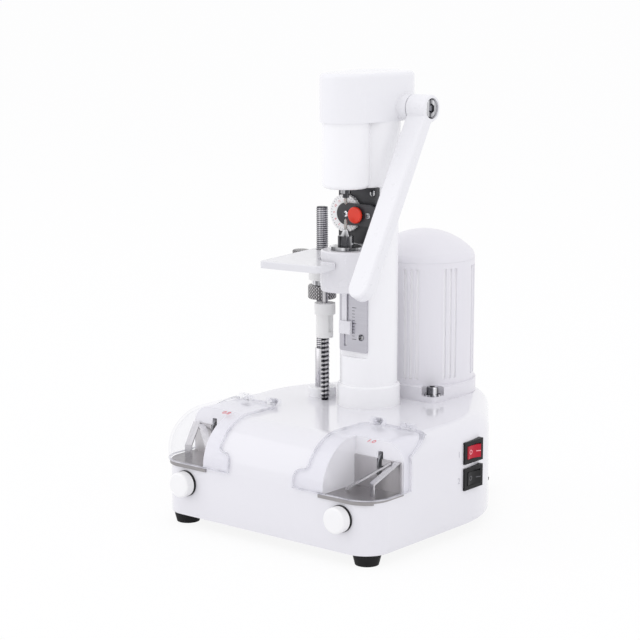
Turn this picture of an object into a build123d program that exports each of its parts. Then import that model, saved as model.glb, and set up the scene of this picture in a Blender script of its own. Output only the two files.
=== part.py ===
from build123d import *
from math import asin, atan2, cos, degrees, hypot, pi, radians, sin, sqrt
import os

os.makedirs("parts", exist_ok=True)

# Lens drilling machine, in millimetres, +Z up, front towards -Y.
# The origin lies on the floor at the middle of the machine's plan.

# Running gaps
shaft_gap = 0.05
loose_gap = 0.3

# Base housing
half_width = 91.4
column_back = 114.5
motor_behind_column = 64.0
rear_radius = 47.4
side_arc_ahead = 12.7
corner_radius = 18.0
base_bottom = 8.2
base_top = 76.6
front_round = 32.0
edge_round = 14.0
wall = 3.5
plate_thickness = 2.0
seam_gap = 0.3

# Front knobs
knob_x = 67.5
knob_z = 31.0
knob_radius = 8.6
knob_reach = 8.5
knob_ring_radius = 9.4
knob_ring_thickness = 1.5
knob_stem_radius = 3.0

# Places along Y, from the base's own depth
base_depth = column_back + motor_behind_column + rear_radius
front_y = knob_reach - (base_depth + knob_reach) / 2
column_y = front_y + column_back
motor_y = column_y + motor_behind_column
spindle_ahead = 26.0
spindle_y = column_y - spindle_ahead

# Feet and their screws
foot_inset = 13.0
foot_radius = 9.9
foot_tip_radius = 7.8
rear_foot_x = 28.0
rear_foot_behind_motor = 28.0
foot_screw_radius = 2.0
foot_screw_head_radius = 3.8
foot_screw_head = 2.6
foot_recess = 3.0

# Cutting pockets in the front corners
pocket_inner_x = 52.0
pocket_outer_x = 90.0
pocket_depth = 34.5
pocket_floor_z = 44.0
pocket_floor_thickness = 1.4
pocket_back_top = 64.4
pocket_back_thickness = 1.4
pocket_wall = 3.0
floor_lip = 1.2
floor_inner_reach = 3.0
lip_length = 6.5
lip_drop = 0.8
cutter_x = 72.5
cutter_radius = 9.0
cutter_z = 60.5
cutter_behind_plate = 6.0
cutter_width = 1.2
cutter_hub_radius = 4.5
cutter_hub_width = 3.0
cutter_shaft_radius = 2.5
cutter_slot_width = 4.0
cutter_slot_half = 8.7
cutter_slot_low = 7.2
cut_motor_radius = 12.0
cut_motor_half = 32.0
guide_thickness = 1.0
guide_width = 5.0
inner_guide_x = 58.0
inner_guide_foot = 16.5
inner_guide_end_x = 82.5
inner_guide_end = 32.1
inner_guide_rise = 20.2
inner_guide_upright = 1.2
outer_guide_x = 80.0
outer_guide_foot = 15.5
outer_guide_end_x = 87.5
outer_guide_end = 32.5
outer_guide_rise = 21.0
outer_guide_upright = 8.0

# Pocket guards
guard_gap = 0.4
guard_thickness = 1.8
guard_inner_x = 38.0
guard_ear_x = 28.0
guard_ear_top = 58.0
guard_ear_depth = 15.0
guard_ear_round = 6.0
guard_ear_blend = 3.5
guard_bottom = 44.6
guard_corner = 12.0
hinge_behind_front = 66.0
hinge_rise = 3.0
hinge_pin_radius = 1.1
knuckle_radius = 2.2
knuckle_half = 2.5
knuckle_places = (46.0, 71.0)
hinge_block = 3.4
hinge_block_half = 2.4
guard_side_open = 40.0
guard_side_rise = 22.5

# Column
column_radius = 20.0
column_top = 270.0
column_bore = 8.0
collar_radius = 21.9
collar_height = 15.4
plate_flat = 16.0
plate_flat_bottom = 112.0
deep_flat = 11.5
deep_flat_bottom = 187.2
key_slot_bottom = 150.0
key_neck_half = 3.0
key_neck_end = 13.1
key_head_half = 5.0
key_head_end = 10.6

# Head
head_bottom = 229.8
head_top = 274.3
head_front_radius = 16.1
head_rear_radius = 21.2
cap_height = 32.7
cap_top = head_top + cap_height
cap_front_radius = 17.8
cap_rear_radius = 23.0
cap_rear_behind = 12.0
cap_wall = 2.5
cap_round = 3.0
head_round = 3.0
deck_thickness = 2.0

# Lever
lever_behind = 9.5
lever_z = 283.3
lever_boss_radius = 8.9
lever_inner_x = 29.5
lever_width = 16.0
lever_thickness = 9.6
lever_length = 140.0
lever_lean = 29.7
lever_hub_radius = 9.2
lever_shaft_radius = 5.0
lever_screw_radius = 6.2
lever_screw_head = 6.8
lever_screw_recess = 8.4
lever_washer_radius = 6.7
lever_washer_thickness = 1.0
fork_inner_x = 9.6
fork_thickness = 3.0
fork_half_height = 2.5
fork_rise = 4.0
fork_pin_radius = 1.9
bearing_block_x = 15.1
bearing_block_width = 4.0
bearing_block_half = 7.0

# Quill and upper spindle
quill_radius = 8.0
quill_top = 291.0
quill_bore = 5.0
groove_depth = 1.8
spindle_top_radius = 2.95
upper_collet_radius = 3.5
upper_collet_length = 3.6
upper_collet_bottom = head_bottom - upper_collet_length
upper_chuck_radius = 2.1
upper_chuck_length = 3.0
upper_chuck_bottom = upper_collet_bottom - upper_chuck_length
upper_bit_reach = 4.9
upper_tip = upper_chuck_bottom - upper_bit_reach
drill_radius = 1.1
bit_seat = 5.0

# Pulleys, shafts and belts
pulley_radius = 10.5
pulley_bottom = 293.3
pulley_height = 6.6
pulley_groove = 1.4
belt_thickness = 1.0
belt_height = 3.6
bridge_bottom = 300.4
bridge_thickness = 3.0
spindle_above_bridge = 0.6
spindle_top = bridge_bottom + bridge_thickness + spindle_above_bridge
pulley_hub_radius = 5.0
column_shaft_radius = 3.95
column_shaft_bottom = 50.0
base_pulley_bottom = 56.0
base_pulley_height = 9.0
column_pulley_radius = 12.0
motor_pulley_radius = 14.0
bearing_thickness = 6.0

# Lower block and spindle
block_radius = 17.0
block_bottom = 160.0
block_height = 27.9
block_top = block_bottom + block_height
block_back_gap = 2.3
block_round = 1.2
key_bottom = 172.0
key_top = 186.0
lower_spindle_radius = 6.0
lower_spindle_bottom = 163.0
chuck_disc_radius = 10.9
block_travel = 12.0
chuck_disc_thickness = 2.2
chuck_radius = 5.4
chuck_height = 6.8
chuck_slot = 1.8
chuck_cone_height = 4.4
chuck_cone_radius = 3.4
chuck_nose_radius = 1.8
lower_tip_above_block = 21.1
lower_tip = block_top + lower_tip_above_block

# Rods beside the column
front_rod_x = -30.0
front_rod_y = column_y - 11.5
front_rod_radius = 3.3
front_rod_pitch = 2.5
front_rod_top = 129.5
rear_rod_x = -40.9
rear_rod_y = column_y - 1.2
rear_rod_radius = 4.3
rear_rod_lower_radius = 5.0
rear_rod_lower_top = 111.0
rear_rod_top = 211.5
thread_depth = 0.35
rod_boss_radius = 10.0
rod_boss_top = 83.4
sleeve_radius = 5.8
sleeve_top_radius = 7.3
sleeve_bottom = 121.5
sleeve_step = 138.0
sleeve_top = 145.8
sleeve_bore_top = 142.0
stem_radius = 2.2
arm_thickness = 6.0
arm_width = 5.0
arm_boss_radius = 3.6

# Table
table_bottom = 176.6
table_thickness = 4.8
table_turn = 7.5
table_left = 8.0
table_width = 48.0
table_front = 69.0
table_back = 6.5
table_inner_reach = 18.5
table_corner = 4.0
notch_gap = 1.3
hub_radius = 9.5
hub_bottom = 160.0
neck_radius = 7.4
nut_radius = 10.0
nut_bottom = 146.6
nut_top = 156.2
nut_knurls = 36
lock_x = -20.0
lock_back = 4.0
lock_radius = 6.2
lock_bottom = 172.5
lock_height = 6.5
lock_stem_radius = 2.5
lock_ear_thickness = 6.0
lock_knurls = 28

# Dial group on the front of the column
bracket_half = 16.5
bracket_front = 13.0
bracket_thickness = 1.5
bracket_lip = 1.2
bracket_bottom = 190.6
dial_x = -8.8
dial_z = 211.0
dial_radius = 12.9
dial_thickness = 3.0
dial_teeth = 36
dial_shaft_radius = 2.0
button_x = 3.6
oval_width = 35.0
oval_height = 15.0
oval_thickness = 1.8
button_radius = 5.7
button_reach = 3.4
button_stem_radius = 3.4
oval_screw_spacing = 18.7
trim_screw_radius = 1.4
trim_screw_head_radius = 2.3
trim_screw_head = 1.2

# Scale plate and pointer
scale_half = 12.0
scale_bottom = 115.7
scale_top = 159.0
scale_thickness = 1.5
scale_slot_x = -7.0
scale_slot_half = 1.1
scale_slot_bottom = 119.0
pointer_z = 132.5
pointer_width = 9.5
pointer_height = 9.0
pointer_thickness = 2.6
pointer_strip_half = 2.0
pointer_strip_thickness = 1.0

# Motor
motor_radius = 36.2
motor_inner_radius = 31.0
flange_half = 37.8
flange_height = 9.6
flange_ledge = 4.0
flange_screw_inset = 6.5
flange_notch_radius = 8.0
motor_top = 172.5
dome_height = 24.5
dome_round = 10.0
dome_crown_radius = 41.0
dome_wall = 3.5
fin_depth = 1.6
fin_width = 2.2
fin_pitch = 7.0
fins_in_group = 3
fin_groups = 8
stator_radius = 30.7
rotor_radius = 22.0
rotor_gap = 0.6
rotor_bottom = 100.0
rotor_top = 158.0
motor_shaft_radius = 4.0
cap_screw_head_radius = 4.2
cap_screw_head = 5.0
cap_screw_shank = 2.5
washer_radius = 6.0
washer_thickness = 1.2

# Switches and inlet
switch_y = column_y - 3.7
switch_width = 21.0
switch_height = 15.0
red_switch_z = 57.4
black_switch_z = 39.4
bezel_proud = 1.4
bezel_depth = 10.0
bezel_seat = 2.4
bezel_rim = 1.6
rocker_tilt = -9.0
rocker_proud = 1.4
inlet_y = column_y - 40.0
inlet_z = 36.0
inlet_width = 27.0
inlet_height = 20.0
inlet_depth = 16.0
inlet_flange = 4.0
inlet_flange_thickness = 1.5


def post(x, y, bottom, top, radius):
    return Pos(x, y, (bottom + top) / 2) * Cylinder(radius, top - bottom)


def bar_x(left, right, y, z, radius):
    return Pos((left + right) / 2, y, z) * Rot(0, 90, 0) * Cylinder(radius, right - left)


def bar_y(front, back, x, z, radius):
    return Pos(x, (front + back) / 2, z) * Rot(90, 0, 0) * Cylinder(radius, back - front)


def box(left, right, front, back, bottom, top):
    middle = Pos((left + right) / 2, (front + back) / 2, (bottom + top) / 2)
    return middle * Box(right - left, back - front, top - bottom)


def solids_of(shapes):
    found = []
    for shape in shapes:
        found += shape.solids()
    return found


def save(name, *shapes):
    pieces = solids_of(shapes)
    result = pieces[0] if len(pieces) == 1 else Compound(children=pieces)
    export_step(result, f"parts/{name}.step")


def pair(shape):
    return [shape, mirror(shape, Plane.YZ)]


# The housing's outer form, grown or shrunk by an offset

def base_plan(offset):
    side_y = column_y - side_arc_ahead
    width = half_width + offset
    rear = rear_radius + offset
    corner = corner_radius + offset
    lean = asin((half_width - rear_radius) / (motor_y - side_y))
    corner_x = half_width - corner_radius
    corner_y = front_y + corner_radius
    diagonal = cos(pi / 4)
    tail = (lean + pi / 2) / 2
    side_end = (width * cos(lean), side_y + width * sin(lean))
    rear_start = (rear * cos(lean), motor_y + rear * sin(lean))
    right_half = [
        Line((0, front_y - offset), (corner_x, front_y - offset)),
        ThreePointArc(
            (corner_x, front_y - offset),
            (corner_x + corner * diagonal, corner_y - corner * diagonal),
            (width, corner_y),
        ),
        Line((width, corner_y), (width, side_y)),
        ThreePointArc(
            (width, side_y),
            (width * cos(lean / 2), side_y + width * sin(lean / 2)),
            side_end,
        ),
        Line(side_end, rear_start),
        ThreePointArc(
            rear_start,
            (rear * cos(tail), motor_y + rear * sin(tail)),
            (0, motor_y + rear),
        ),
    ]
    half = Curve() + right_half
    return make_face(half + mirror(half, Plane.YZ))


def base_form(offset, bottom=base_bottom):
    top = base_top + offset
    solid = extrude(Pos(0, 0, bottom) * base_plan(offset), top - bottom)
    reach = front_round + offset
    centre_y = front_y + front_round
    centre_z = base_top - front_round
    diagonal = cos(pi / 4)
    back = motor_y + 2 * rear_radius
    outline = Polyline(
        (centre_y, top),
        (back, top),
        (back, bottom),
        (front_y - offset, bottom),
        (front_y - offset, centre_z),
    )
    arc = ThreePointArc(
        (front_y - offset, centre_z),
        (centre_y - reach * diagonal, centre_z + reach * diagonal),
        (centre_y, top),
    )
    side_view = Plane.YZ * make_face(outline + arc)
    solid &= extrude(side_view, 2 * half_width, both=True)
    rims = []
    for edge in solid.edges():
        middle = edge.center()
        high = edge.bounding_box().max.Z > top - 0.001
        curved = middle.Z > centre_z + 1 and abs(middle.X) > half_width / 4
        front_line = abs(middle.X) < 1 and middle.Y < column_y
        if (high or curved) and not front_line:
            rims.append(edge)
    return fillet(rims, edge_round + offset)


def pocket_box(side, grow):
    back = front_y + pocket_depth + grow
    left = pocket_inner_x - grow
    right = 2 * half_width
    floor = pocket_floor_z - pocket_floor_thickness - grow
    cut = box(left, right, front_y - 50, back, floor, base_top + 50)
    return cut if side > 0 else mirror(cut, Plane.YZ)


pocket_back_y = front_y + pocket_depth
cutter_y = pocket_back_y + cutter_behind_plate
flange_screws = []
for side_sign in (-1, 1):
    for end_sign in (-1, 1):
        place_x = side_sign * (flange_half - flange_screw_inset)
        flange_screws.append((place_x, motor_y + end_sign * (flange_half - flange_screw_inset)))
front_flange_screws = [place for place in flange_screws if place[1] < motor_y]
feet = [
    (half_width - foot_inset, front_y + foot_inset),
    (foot_inset - half_width, front_y + foot_inset),
    (rear_foot_x, motor_y + rear_foot_behind_motor),
    (-rear_foot_x, motor_y + rear_foot_behind_motor),
]
hinge_y = front_y + hinge_behind_front
hinge_z = base_top + hinge_rise


def base_housing():
    shell = base_form(0)
    hollow = base_form(-wall, base_bottom - 1)
    for side in (1, -1):
        hollow -= pocket_box(side, pocket_wall)
    hollow -= box(
        half_width - wall - bezel_seat,
        half_width,
        switch_y - switch_width / 2 - 2,
        switch_y + switch_width / 2 + 2,
        black_switch_z - switch_height / 2 - 2,
        red_switch_z + switch_height / 2 + 2,
    )
    shell -= hollow
    for side in (1, -1):
        shell -= pocket_box(side, 0)
        slot = box(
            cutter_x - cutter_slot_width / 2,
            cutter_x + cutter_slot_width / 2,
            pocket_back_y - 1,
            pocket_back_y + pocket_wall + 1,
            cutter_z - cutter_slot_half,
            cutter_z + cutter_slot_half,
        )
        shell -= slot if side > 0 else mirror(slot, Plane.YZ)
        stem_hole = knob_stem_radius + shaft_gap
        shell -= bar_y(front_y - 1, front_y + wall + 1, side * knob_x, knob_z, stem_hole)
    shell -= post(0, column_y, base_top - 2 * wall, base_top + 1, column_bore)
    shell -= post(0, motor_y, base_top - 2 * wall, base_top + 1, motor_shaft_radius + 2)
    for x, y in front_flange_screws:
        shell -= post(x, y, base_top - 2 * wall, base_top + 1, cap_screw_shank)
    for z in (red_switch_z, black_switch_z):
        shell -= switch_body(z, 0, half_width - bezel_depth, half_width + 5)
        shell -= box(
            half_width - bezel_seat,
            half_width + 5,
            switch_y - switch_width / 2,
            switch_y + switch_width / 2,
            z - switch_height / 2,
            z + switch_height / 2,
        )
    shell -= box(
        -half_width - 5,
        wall - half_width + 1,
        inlet_y - inlet_width / 2,
        inlet_y + inlet_width / 2,
        inlet_z - inlet_height / 2,
        inlet_z + inlet_height / 2,
    )
    return shell


def switch_body(z, shrink, inner, outer):
    half = switch_width / 2 - bezel_rim - shrink
    high = switch_height / 2 - bezel_rim - shrink
    return box(inner, outer, switch_y - half, switch_y + half, z - high, z + high)


def base_plate():
    sheet = Pos(0, 0, base_bottom) * base_plan(-wall - seam_gap)
    plate = extrude(sheet, plate_thickness)
    for x, y in feet:
        plate -= post(x, y, base_bottom - 1, base_bottom + plate_thickness + 1, foot_screw_radius)
    return plate


def rubber_feet():
    made = []
    for x, y in feet:
        foot = Pos(x, y, base_bottom / 2) * Cone(foot_tip_radius, foot_radius, base_bottom)
        foot -= post(x, y, -1, foot_recess, foot_screw_head_radius + loose_gap)
        foot -= post(x, y, -1, base_bottom + 1, foot_screw_radius)
        made.append(foot)
    return made


def foot_screws():
    made = []
    for x, y in feet:
        head = post(x, y, foot_recess - foot_screw_head, foot_recess, foot_screw_head_radius)
        shank = post(x, y, foot_recess, base_bottom + plate_thickness + 3, foot_screw_radius)
        made.append(head + shank)
    return made


# Cutting pockets

def pocket_floor():
    low = pocket_floor_z - pocket_floor_thickness
    reach = 2 * half_width
    area = box(pocket_inner_x, reach, front_y - 9, pocket_back_y, low, pocket_floor_z)
    sheet = area & extrude(Pos(0, 0, low) * base_plan(floor_lip), pocket_floor_thickness)
    left = pocket_inner_x - floor_inner_reach
    back = front_y + lip_length
    rim = box(left, reach, front_y - 9, back, low - lip_drop, pocket_floor_z)
    ring = base_plan(floor_lip) - base_plan(0)
    lip = rim & extrude(Pos(0, 0, low - lip_drop) * ring, pocket_floor_thickness + lip_drop)
    trim = box(0, reach, back, pocket_back_y, low - 1, pocket_floor_z + 1)
    trim &= extrude(Pos(0, 0, low - 1) * (base_plan(9) - base_plan(0)), 20)
    return sheet + lip - trim


def pocket_back():
    sheet = box(
        pocket_inner_x,
        half_width - wall / 2,
        pocket_back_y - pocket_back_thickness,
        pocket_back_y,
        pocket_floor_z,
        pocket_back_top,
    )
    slot = box(
        cutter_x - cutter_slot_width / 2,
        cutter_x + cutter_slot_width / 2,
        pocket_back_y - 5,
        pocket_back_y + 5,
        cutter_z - cutter_slot_low,
        pocket_back_top + 1,
    )
    return sheet - slot


def leaf(foot_x, foot_behind, end_x, end_behind, rise, upright):
    """A bent strip: it stands on the floor, rises straight and then leans to the back plate."""
    run = hypot(end_x - foot_x, end_behind - foot_behind)
    turn = degrees(atan2(end_behind - foot_behind, end_x - foot_x))
    climb = rise - upright
    slope = hypot(run, climb)
    over_x = guide_thickness * climb / slope
    over_z = guide_thickness * run / slope
    side = Polyline(
        (0, 0),
        (guide_thickness, 0),
        (guide_thickness, upright),
        (run + over_x, rise - over_z),
        (run, rise),
        (0, upright + over_z),
        close=True,
    )
    strip = extrude(Plane.XZ * make_face(side), guide_width / 2, both=True)
    placed = Pos(foot_x, front_y + foot_behind, pocket_floor_z) * Rot(0, 0, turn) * strip
    back = pocket_back_y - pocket_back_thickness
    return placed & box(pocket_inner_x, half_width, front_y, back, pocket_floor_z, base_top)


def lens_guides():
    inner = leaf(
        inner_guide_x,
        inner_guide_foot,
        inner_guide_end_x,
        inner_guide_end,
        inner_guide_rise,
        inner_guide_upright,
    )
    outer = leaf(
        outer_guide_x,
        outer_guide_foot,
        outer_guide_end_x,
        outer_guide_end,
        outer_guide_rise,
        outer_guide_upright,
    )
    return pair(inner) + pair(outer)


def guard_outline():
    """The block of space that keeps the guard's top, front and side, with its rounded ear."""
    reach = 2 * half_width
    roof = box(guard_inner_x, reach, front_y - 20, hinge_y, guard_bottom, base_top + 20)
    corner = [
        edge
        for edge in roof.edges()
        if abs(edge.center().X - guard_inner_x) < 0.01 and abs(edge.center().Y - hinge_y) < 0.01
    ]
    roof = fillet(corner, guard_corner)
    ear_back = front_y + guard_ear_depth
    ear = box(guard_ear_x, guard_inner_x + 15, front_y - 20, ear_back, guard_bottom, guard_ear_top)
    outline = roof + ear
    tip = [
        edge
        for edge in outline.edges().filter_by(Axis.Y)
        if abs(edge.center().X - guard_ear_x) < 0.01 and abs(edge.center().Z - guard_ear_top) < 0.01
    ]
    outline = fillet(tip, guard_ear_round)
    root = [
        edge
        for edge in outline.edges().filter_by(Axis.Y)
        if abs(edge.center().X - guard_inner_x) < 0.01 and abs(edge.center().Z - guard_ear_top) < 0.01
    ]
    return fillet(root, guard_ear_blend)


def guard_opening():
    """The slanted cut that opens the guard's outer side."""
    side_end = front_y + guard_side_open
    opening = Polyline(
        (side_end, guard_bottom - 5),
        (side_end, guard_bottom + guard_side_rise),
        (hinge_y - 2, base_top - 0.5),
        (hinge_y + 20, base_top - 0.5),
        (hinge_y + 20, guard_bottom - 5),
        close=True,
    )
    side_cut = extrude(Plane.YZ * make_face(opening), 2 * half_width)
    return side_cut & box(half_width - edge_round, 2 * half_width, front_y, hinge_y + 30, 0, base_top)


def guard():
    skin = base_form(guard_gap + guard_thickness) - base_form(guard_gap)
    cover = (skin & guard_outline()) - guard_opening()
    for place in knuckle_places:
        left = place - knuckle_half
        right = place + knuckle_half
        cover += bar_x(left, right, hinge_y, hinge_z, knuckle_radius)
        cover += box(left, right, hinge_y - 3, hinge_y, base_top + guard_gap, hinge_z)
        for sign in (-1, 1):
            middle = place + sign * (knuckle_half + hinge_block / 2)
            cover -= box(
                middle - hinge_block / 2 - loose_gap,
                middle + hinge_block / 2 + loose_gap,
                hinge_y - hinge_block_half - 1.5,
                hinge_y + 5,
                base_top,
                base_top + 20,
            )
    pin_hole = hinge_pin_radius + shaft_gap
    cover -= bar_x(guard_inner_x, half_width, hinge_y, hinge_z, pin_hole)
    return max(cover.solids(), key=lambda piece: piece.volume)


def guard_hinges():
    made = []
    outer = knuckle_half + loose_gap + hinge_block
    for place in knuckle_places:
        for sign in (-1, 1):
            inner = place + sign * (knuckle_half + loose_gap)
            far = inner + sign * (hinge_block - 2 * loose_gap)
            left = min(inner, far)
            right = max(inner, far)
            back = hinge_y + hinge_block_half
            block = box(left, right, hinge_y - hinge_block_half, back, base_top, hinge_z)
            block += bar_x(left, right, hinge_y, hinge_z, hinge_block_half)
            block -= bar_x(left - 1, right + 1, hinge_y, hinge_z, hinge_pin_radius)
            made += pair(block)
        made += pair(bar_x(place - outer, place + outer, hinge_y, hinge_z, hinge_pin_radius))
    return made


def cut_motor():
    body = bar_x(-cut_motor_half, cut_motor_half, cutter_y, cutter_z, cut_motor_radius)
    body -= bar_x(-half_width, half_width, cutter_y, cutter_z, cutter_shaft_radius + shaft_gap)
    cradle = box(
        10 - cut_motor_half,
        cut_motor_half - 10,
        cutter_y - 11,
        cutter_y + 11,
        base_bottom + plate_thickness,
        cutter_z - 3,
    )
    cradle -= bar_x(-half_width, half_width, cutter_y, cutter_z, cut_motor_radius - 0.5)
    return body + cradle


def cutter_shaft():
    end = cutter_x + cutter_hub_width / 2
    return bar_x(-end, end, cutter_y, cutter_z, cutter_shaft_radius)


def cutter_wheels():
    half = cutter_width / 2
    hub = cutter_hub_width / 2
    wheel = bar_x(cutter_x - half, cutter_x + half, cutter_y, cutter_z, cutter_radius)
    wheel += bar_x(cutter_x - hub, cutter_x + hub, cutter_y, cutter_z, cutter_hub_radius)
    wheel -= bar_x(cutter_x - 5, cutter_x + 5, cutter_y, cutter_z, cutter_shaft_radius)
    return pair(wheel)


# Front knobs

def front_knob(side):
    tip = front_y - knob_reach
    ring = front_y - knob_ring_thickness - loose_gap
    cap = bar_y(tip, ring, side * knob_x, knob_z, knob_radius)
    rim = [edge for edge in cap.edges() if abs(edge.center().Y - tip) < 0.01]
    cap = fillet(rim, 1.6)
    stem = bar_y(ring, front_y + wall + 4, side * knob_x, knob_z, knob_stem_radius)
    return cap + stem


def knob_rings():
    made = []
    for side in (1, -1):
        ring = bar_y(front_y - knob_ring_thickness, front_y, side * knob_x, knob_z, knob_ring_radius)
        hole = knob_stem_radius + shaft_gap
        ring -= bar_y(front_y - 5, front_y + 1, side * knob_x, knob_z, hole)
        made.append(ring)
    return made


# Column and head

def column_tube():
    tube = post(0, column_y, base_top, column_top, column_radius)
    tube -= post(0, column_y, base_top - 1, column_top + 1, column_bore)
    front = column_y - 2 * column_radius
    wide = 2 * column_radius
    tube -= box(-wide, wide, front, column_y - plate_flat, plate_flat_bottom, column_top + 1)
    tube -= box(-wide, wide, front, column_y - deep_flat, deep_flat_bottom, column_top + 1)
    neck = box(
        -key_neck_half,
        key_neck_half,
        front,
        column_y - key_neck_end,
        key_slot_bottom,
        deep_flat_bottom,
    )
    head = box(
        -key_head_half,
        key_head_half,
        column_y - key_neck_end,
        column_y - key_head_end,
        key_slot_bottom,
        deep_flat_bottom,
    )
    relief = post(0, spindle_y, block_top - block_travel - 0.5, block_top + 5, chuck_disc_radius + loose_gap)
    return tube - neck - head - relief


def column_collar():
    collar = post(0, column_y, base_top, base_top + collar_height, collar_radius)
    collar = chamfer(collar.edges().group_by(Axis.Z)[-1], 1.2)
    return collar - post(0, column_y, base_top - 1, column_top, column_radius)


def head_housing():
    front = post(0, spindle_y, head_bottom, head_top, head_front_radius)
    front = fillet(front.edges().group_by(Axis.Z)[0], head_round)
    rear = post(0, column_y, head_bottom, head_top, head_rear_radius)
    rear = fillet(rear.edges().group_by(Axis.Z)[0], 1.0)
    column = post(0, column_y, head_bottom - 1, column_top, column_radius)
    keep = box(-50, 50, column_y - deep_flat, column_y + 50, head_bottom - 1, column_top)
    shell = front + rear - (column & keep)
    shell -= post(0, column_y, column_top - 1, head_top + 1, column_bore)
    shell -= post(0, spindle_y, head_bottom - 1, head_top + 1, quill_radius + shaft_gap)
    return shell


def cap_plan(offset):
    rear_y = column_y + cap_rear_behind
    front = Pos(0, spindle_y) * Circle(cap_front_radius + offset)
    rear = Pos(0, rear_y) * Circle(cap_rear_radius + offset)
    length = rear_y - spindle_y
    lean = asin((cap_rear_radius - cap_front_radius) / length)
    small = cap_front_radius + offset
    large = cap_rear_radius + offset
    web = Polyline(
        (small * cos(lean), spindle_y - small * sin(lean)),
        (large * cos(lean), rear_y - large * sin(lean)),
        (-large * cos(lean), rear_y - large * sin(lean)),
        (-small * cos(lean), spindle_y - small * sin(lean)),
        close=True,
    )
    return front + rear + make_face(web)


def head_cap():
    cap = extrude(Pos(0, 0, head_top) * cap_plan(0), cap_top - head_top)
    cap = fillet(cap.edges().group_by(Axis.Z)[-1], cap_round)
    hollow = extrude(Pos(0, 0, head_top - 1) * cap_plan(-cap_wall), cap_top - cap_wall - head_top + 1)
    cap -= hollow
    cap -= bar_x(0, 60, column_y + lever_behind, lever_z, lever_boss_radius)
    return cap


def head_deck():
    deck = extrude(Pos(0, 0, head_top) * cap_plan(-cap_wall), deck_thickness)
    deck -= post(0, column_y, head_top - 1, head_top + 5, column_bore)
    deck -= post(0, spindle_y, head_top - 1, head_top + 5, quill_radius + shaft_gap)
    return deck


def lever_bearings():
    boss = bar_x(0, lever_inner_x - loose_gap, column_y + lever_behind, lever_z, lever_boss_radius)
    inside = extrude(Pos(0, 0, head_top - 5) * cap_plan(-cap_wall), 60)
    boss -= inside
    made = [boss]
    for side in (-1, 1):
        middle = side * bearing_block_x
        made.append(
            box(
                middle - bearing_block_width / 2,
                middle + bearing_block_width / 2,
                column_y + lever_behind - bearing_block_half,
                column_y + lever_behind + bearing_block_half,
                head_top + deck_thickness,
                lever_z + bearing_block_half,
            )
        )
    bore = bar_x(-60, 60, column_y + lever_behind, lever_z, lever_shaft_radius + shaft_gap)
    return [piece - bore for piece in made]


# Lever

lever_y = column_y + lever_behind


def lever_arm():
    left = lever_inner_x
    right = lever_inner_x + lever_width
    middle = (left + right) / 2
    half = lever_thickness / 2
    arm = box(left, right, -half, half, -lever_length, 0)
    ends = [
        edge
        for edge in arm.edges().filter_by(Axis.Y)
        if abs(edge.center().Z + lever_length) < 0.01
    ]
    arm = fillet(ends, lever_width / 2 - 0.1)
    arm = fillet(arm.edges().filter_by(Axis.Z), 1.8)
    hub = bar_x(left, right, 0, 0, lever_hub_radius)
    hub = fillet(hub.edges(), 1.2)
    arm = arm + hub
    arm -= bar_x(left - 1, right + 1, 0, 0, lever_shaft_radius)
    arm -= bar_x(right - lever_screw_recess, right + 1, 0, 0, lever_washer_radius + loose_gap)
    return Pos(0, lever_y, lever_z) * Rot(-lever_lean, 0, 0) * arm


def lever_shaft():
    left = -bearing_block_x - bearing_block_width / 2 - 1
    right = lever_inner_x + lever_width - lever_screw_recess
    return bar_x(left, right, lever_y, lever_z, lever_shaft_radius)


fork_length = hypot(lever_behind + spindle_ahead, fork_rise)
fork_angle = degrees(atan2(fork_rise, lever_behind + spindle_ahead))
fork_pin_z = lever_z + fork_rise


def lever_fork():
    inner = fork_inner_x
    outer = fork_inner_x + fork_thickness
    tine = box(inner, outer, -fork_length - 3, -lever_shaft_radius, -fork_half_height, fork_half_height)
    tine += bar_x(quill_radius - groove_depth + loose_gap, inner, -fork_length, 0, fork_pin_radius)
    collar = bar_x(inner - 4, outer - 2.2, 0, 0, lever_shaft_radius + 1.7)
    tine += box(inner - 0.5, inner + 0.8, -lever_shaft_radius - 1.5, 0, -fork_half_height, fork_half_height)
    tine += collar
    tine -= bar_x(0, 30, 0, 0, lever_shaft_radius)
    placed = Pos(0, lever_y, lever_z) * Rot(-fork_angle, 0, 0) * tine
    return pair(placed)


def lever_screw():
    face = lever_inner_x + lever_width - lever_screw_recess
    washer = bar_x(face, face + lever_washer_thickness, lever_y, lever_z, lever_washer_radius)
    start = face + lever_washer_thickness
    head = bar_x(start, start + lever_screw_head, lever_y, lever_z, lever_screw_radius)
    rim = [edge for edge in head.edges() if abs(edge.center().X - start - lever_screw_head) < 0.01]
    head = fillet(rim, 0.8)
    socket = Pos(start + lever_screw_head, lever_y, lever_z) * Rot(0, 90, 0)
    head -= socket * extrude(RegularPolygon(3.5, 6), -4)
    return [washer, head]


# Quill and upper spindle

def quill():
    body = post(0, spindle_y, head_bottom, quill_top, quill_radius)
    ring_bottom = fork_pin_z - fork_pin_radius - loose_gap
    ring_top = fork_pin_z + fork_pin_radius + loose_gap
    groove = post(0, spindle_y, ring_bottom, ring_top, quill_radius + 1)
    groove -= post(0, spindle_y, ring_bottom - 1, ring_top + 1, quill_radius - groove_depth)
    body -= groove
    return body - post(0, spindle_y, 0, 400, quill_bore)


def upper_spindle():
    body = post(0, spindle_y, head_bottom, quill_top, quill_bore - shaft_gap)
    body += post(0, spindle_y, quill_top, spindle_top, spindle_top_radius)
    collet = post(0, spindle_y, upper_collet_bottom, head_bottom, upper_collet_radius)
    collet += post(0, spindle_y, upper_chuck_bottom, upper_collet_bottom, upper_chuck_radius)
    body += collet
    return body - post(0, spindle_y, 0, head_bottom + bit_seat, drill_radius)


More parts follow.
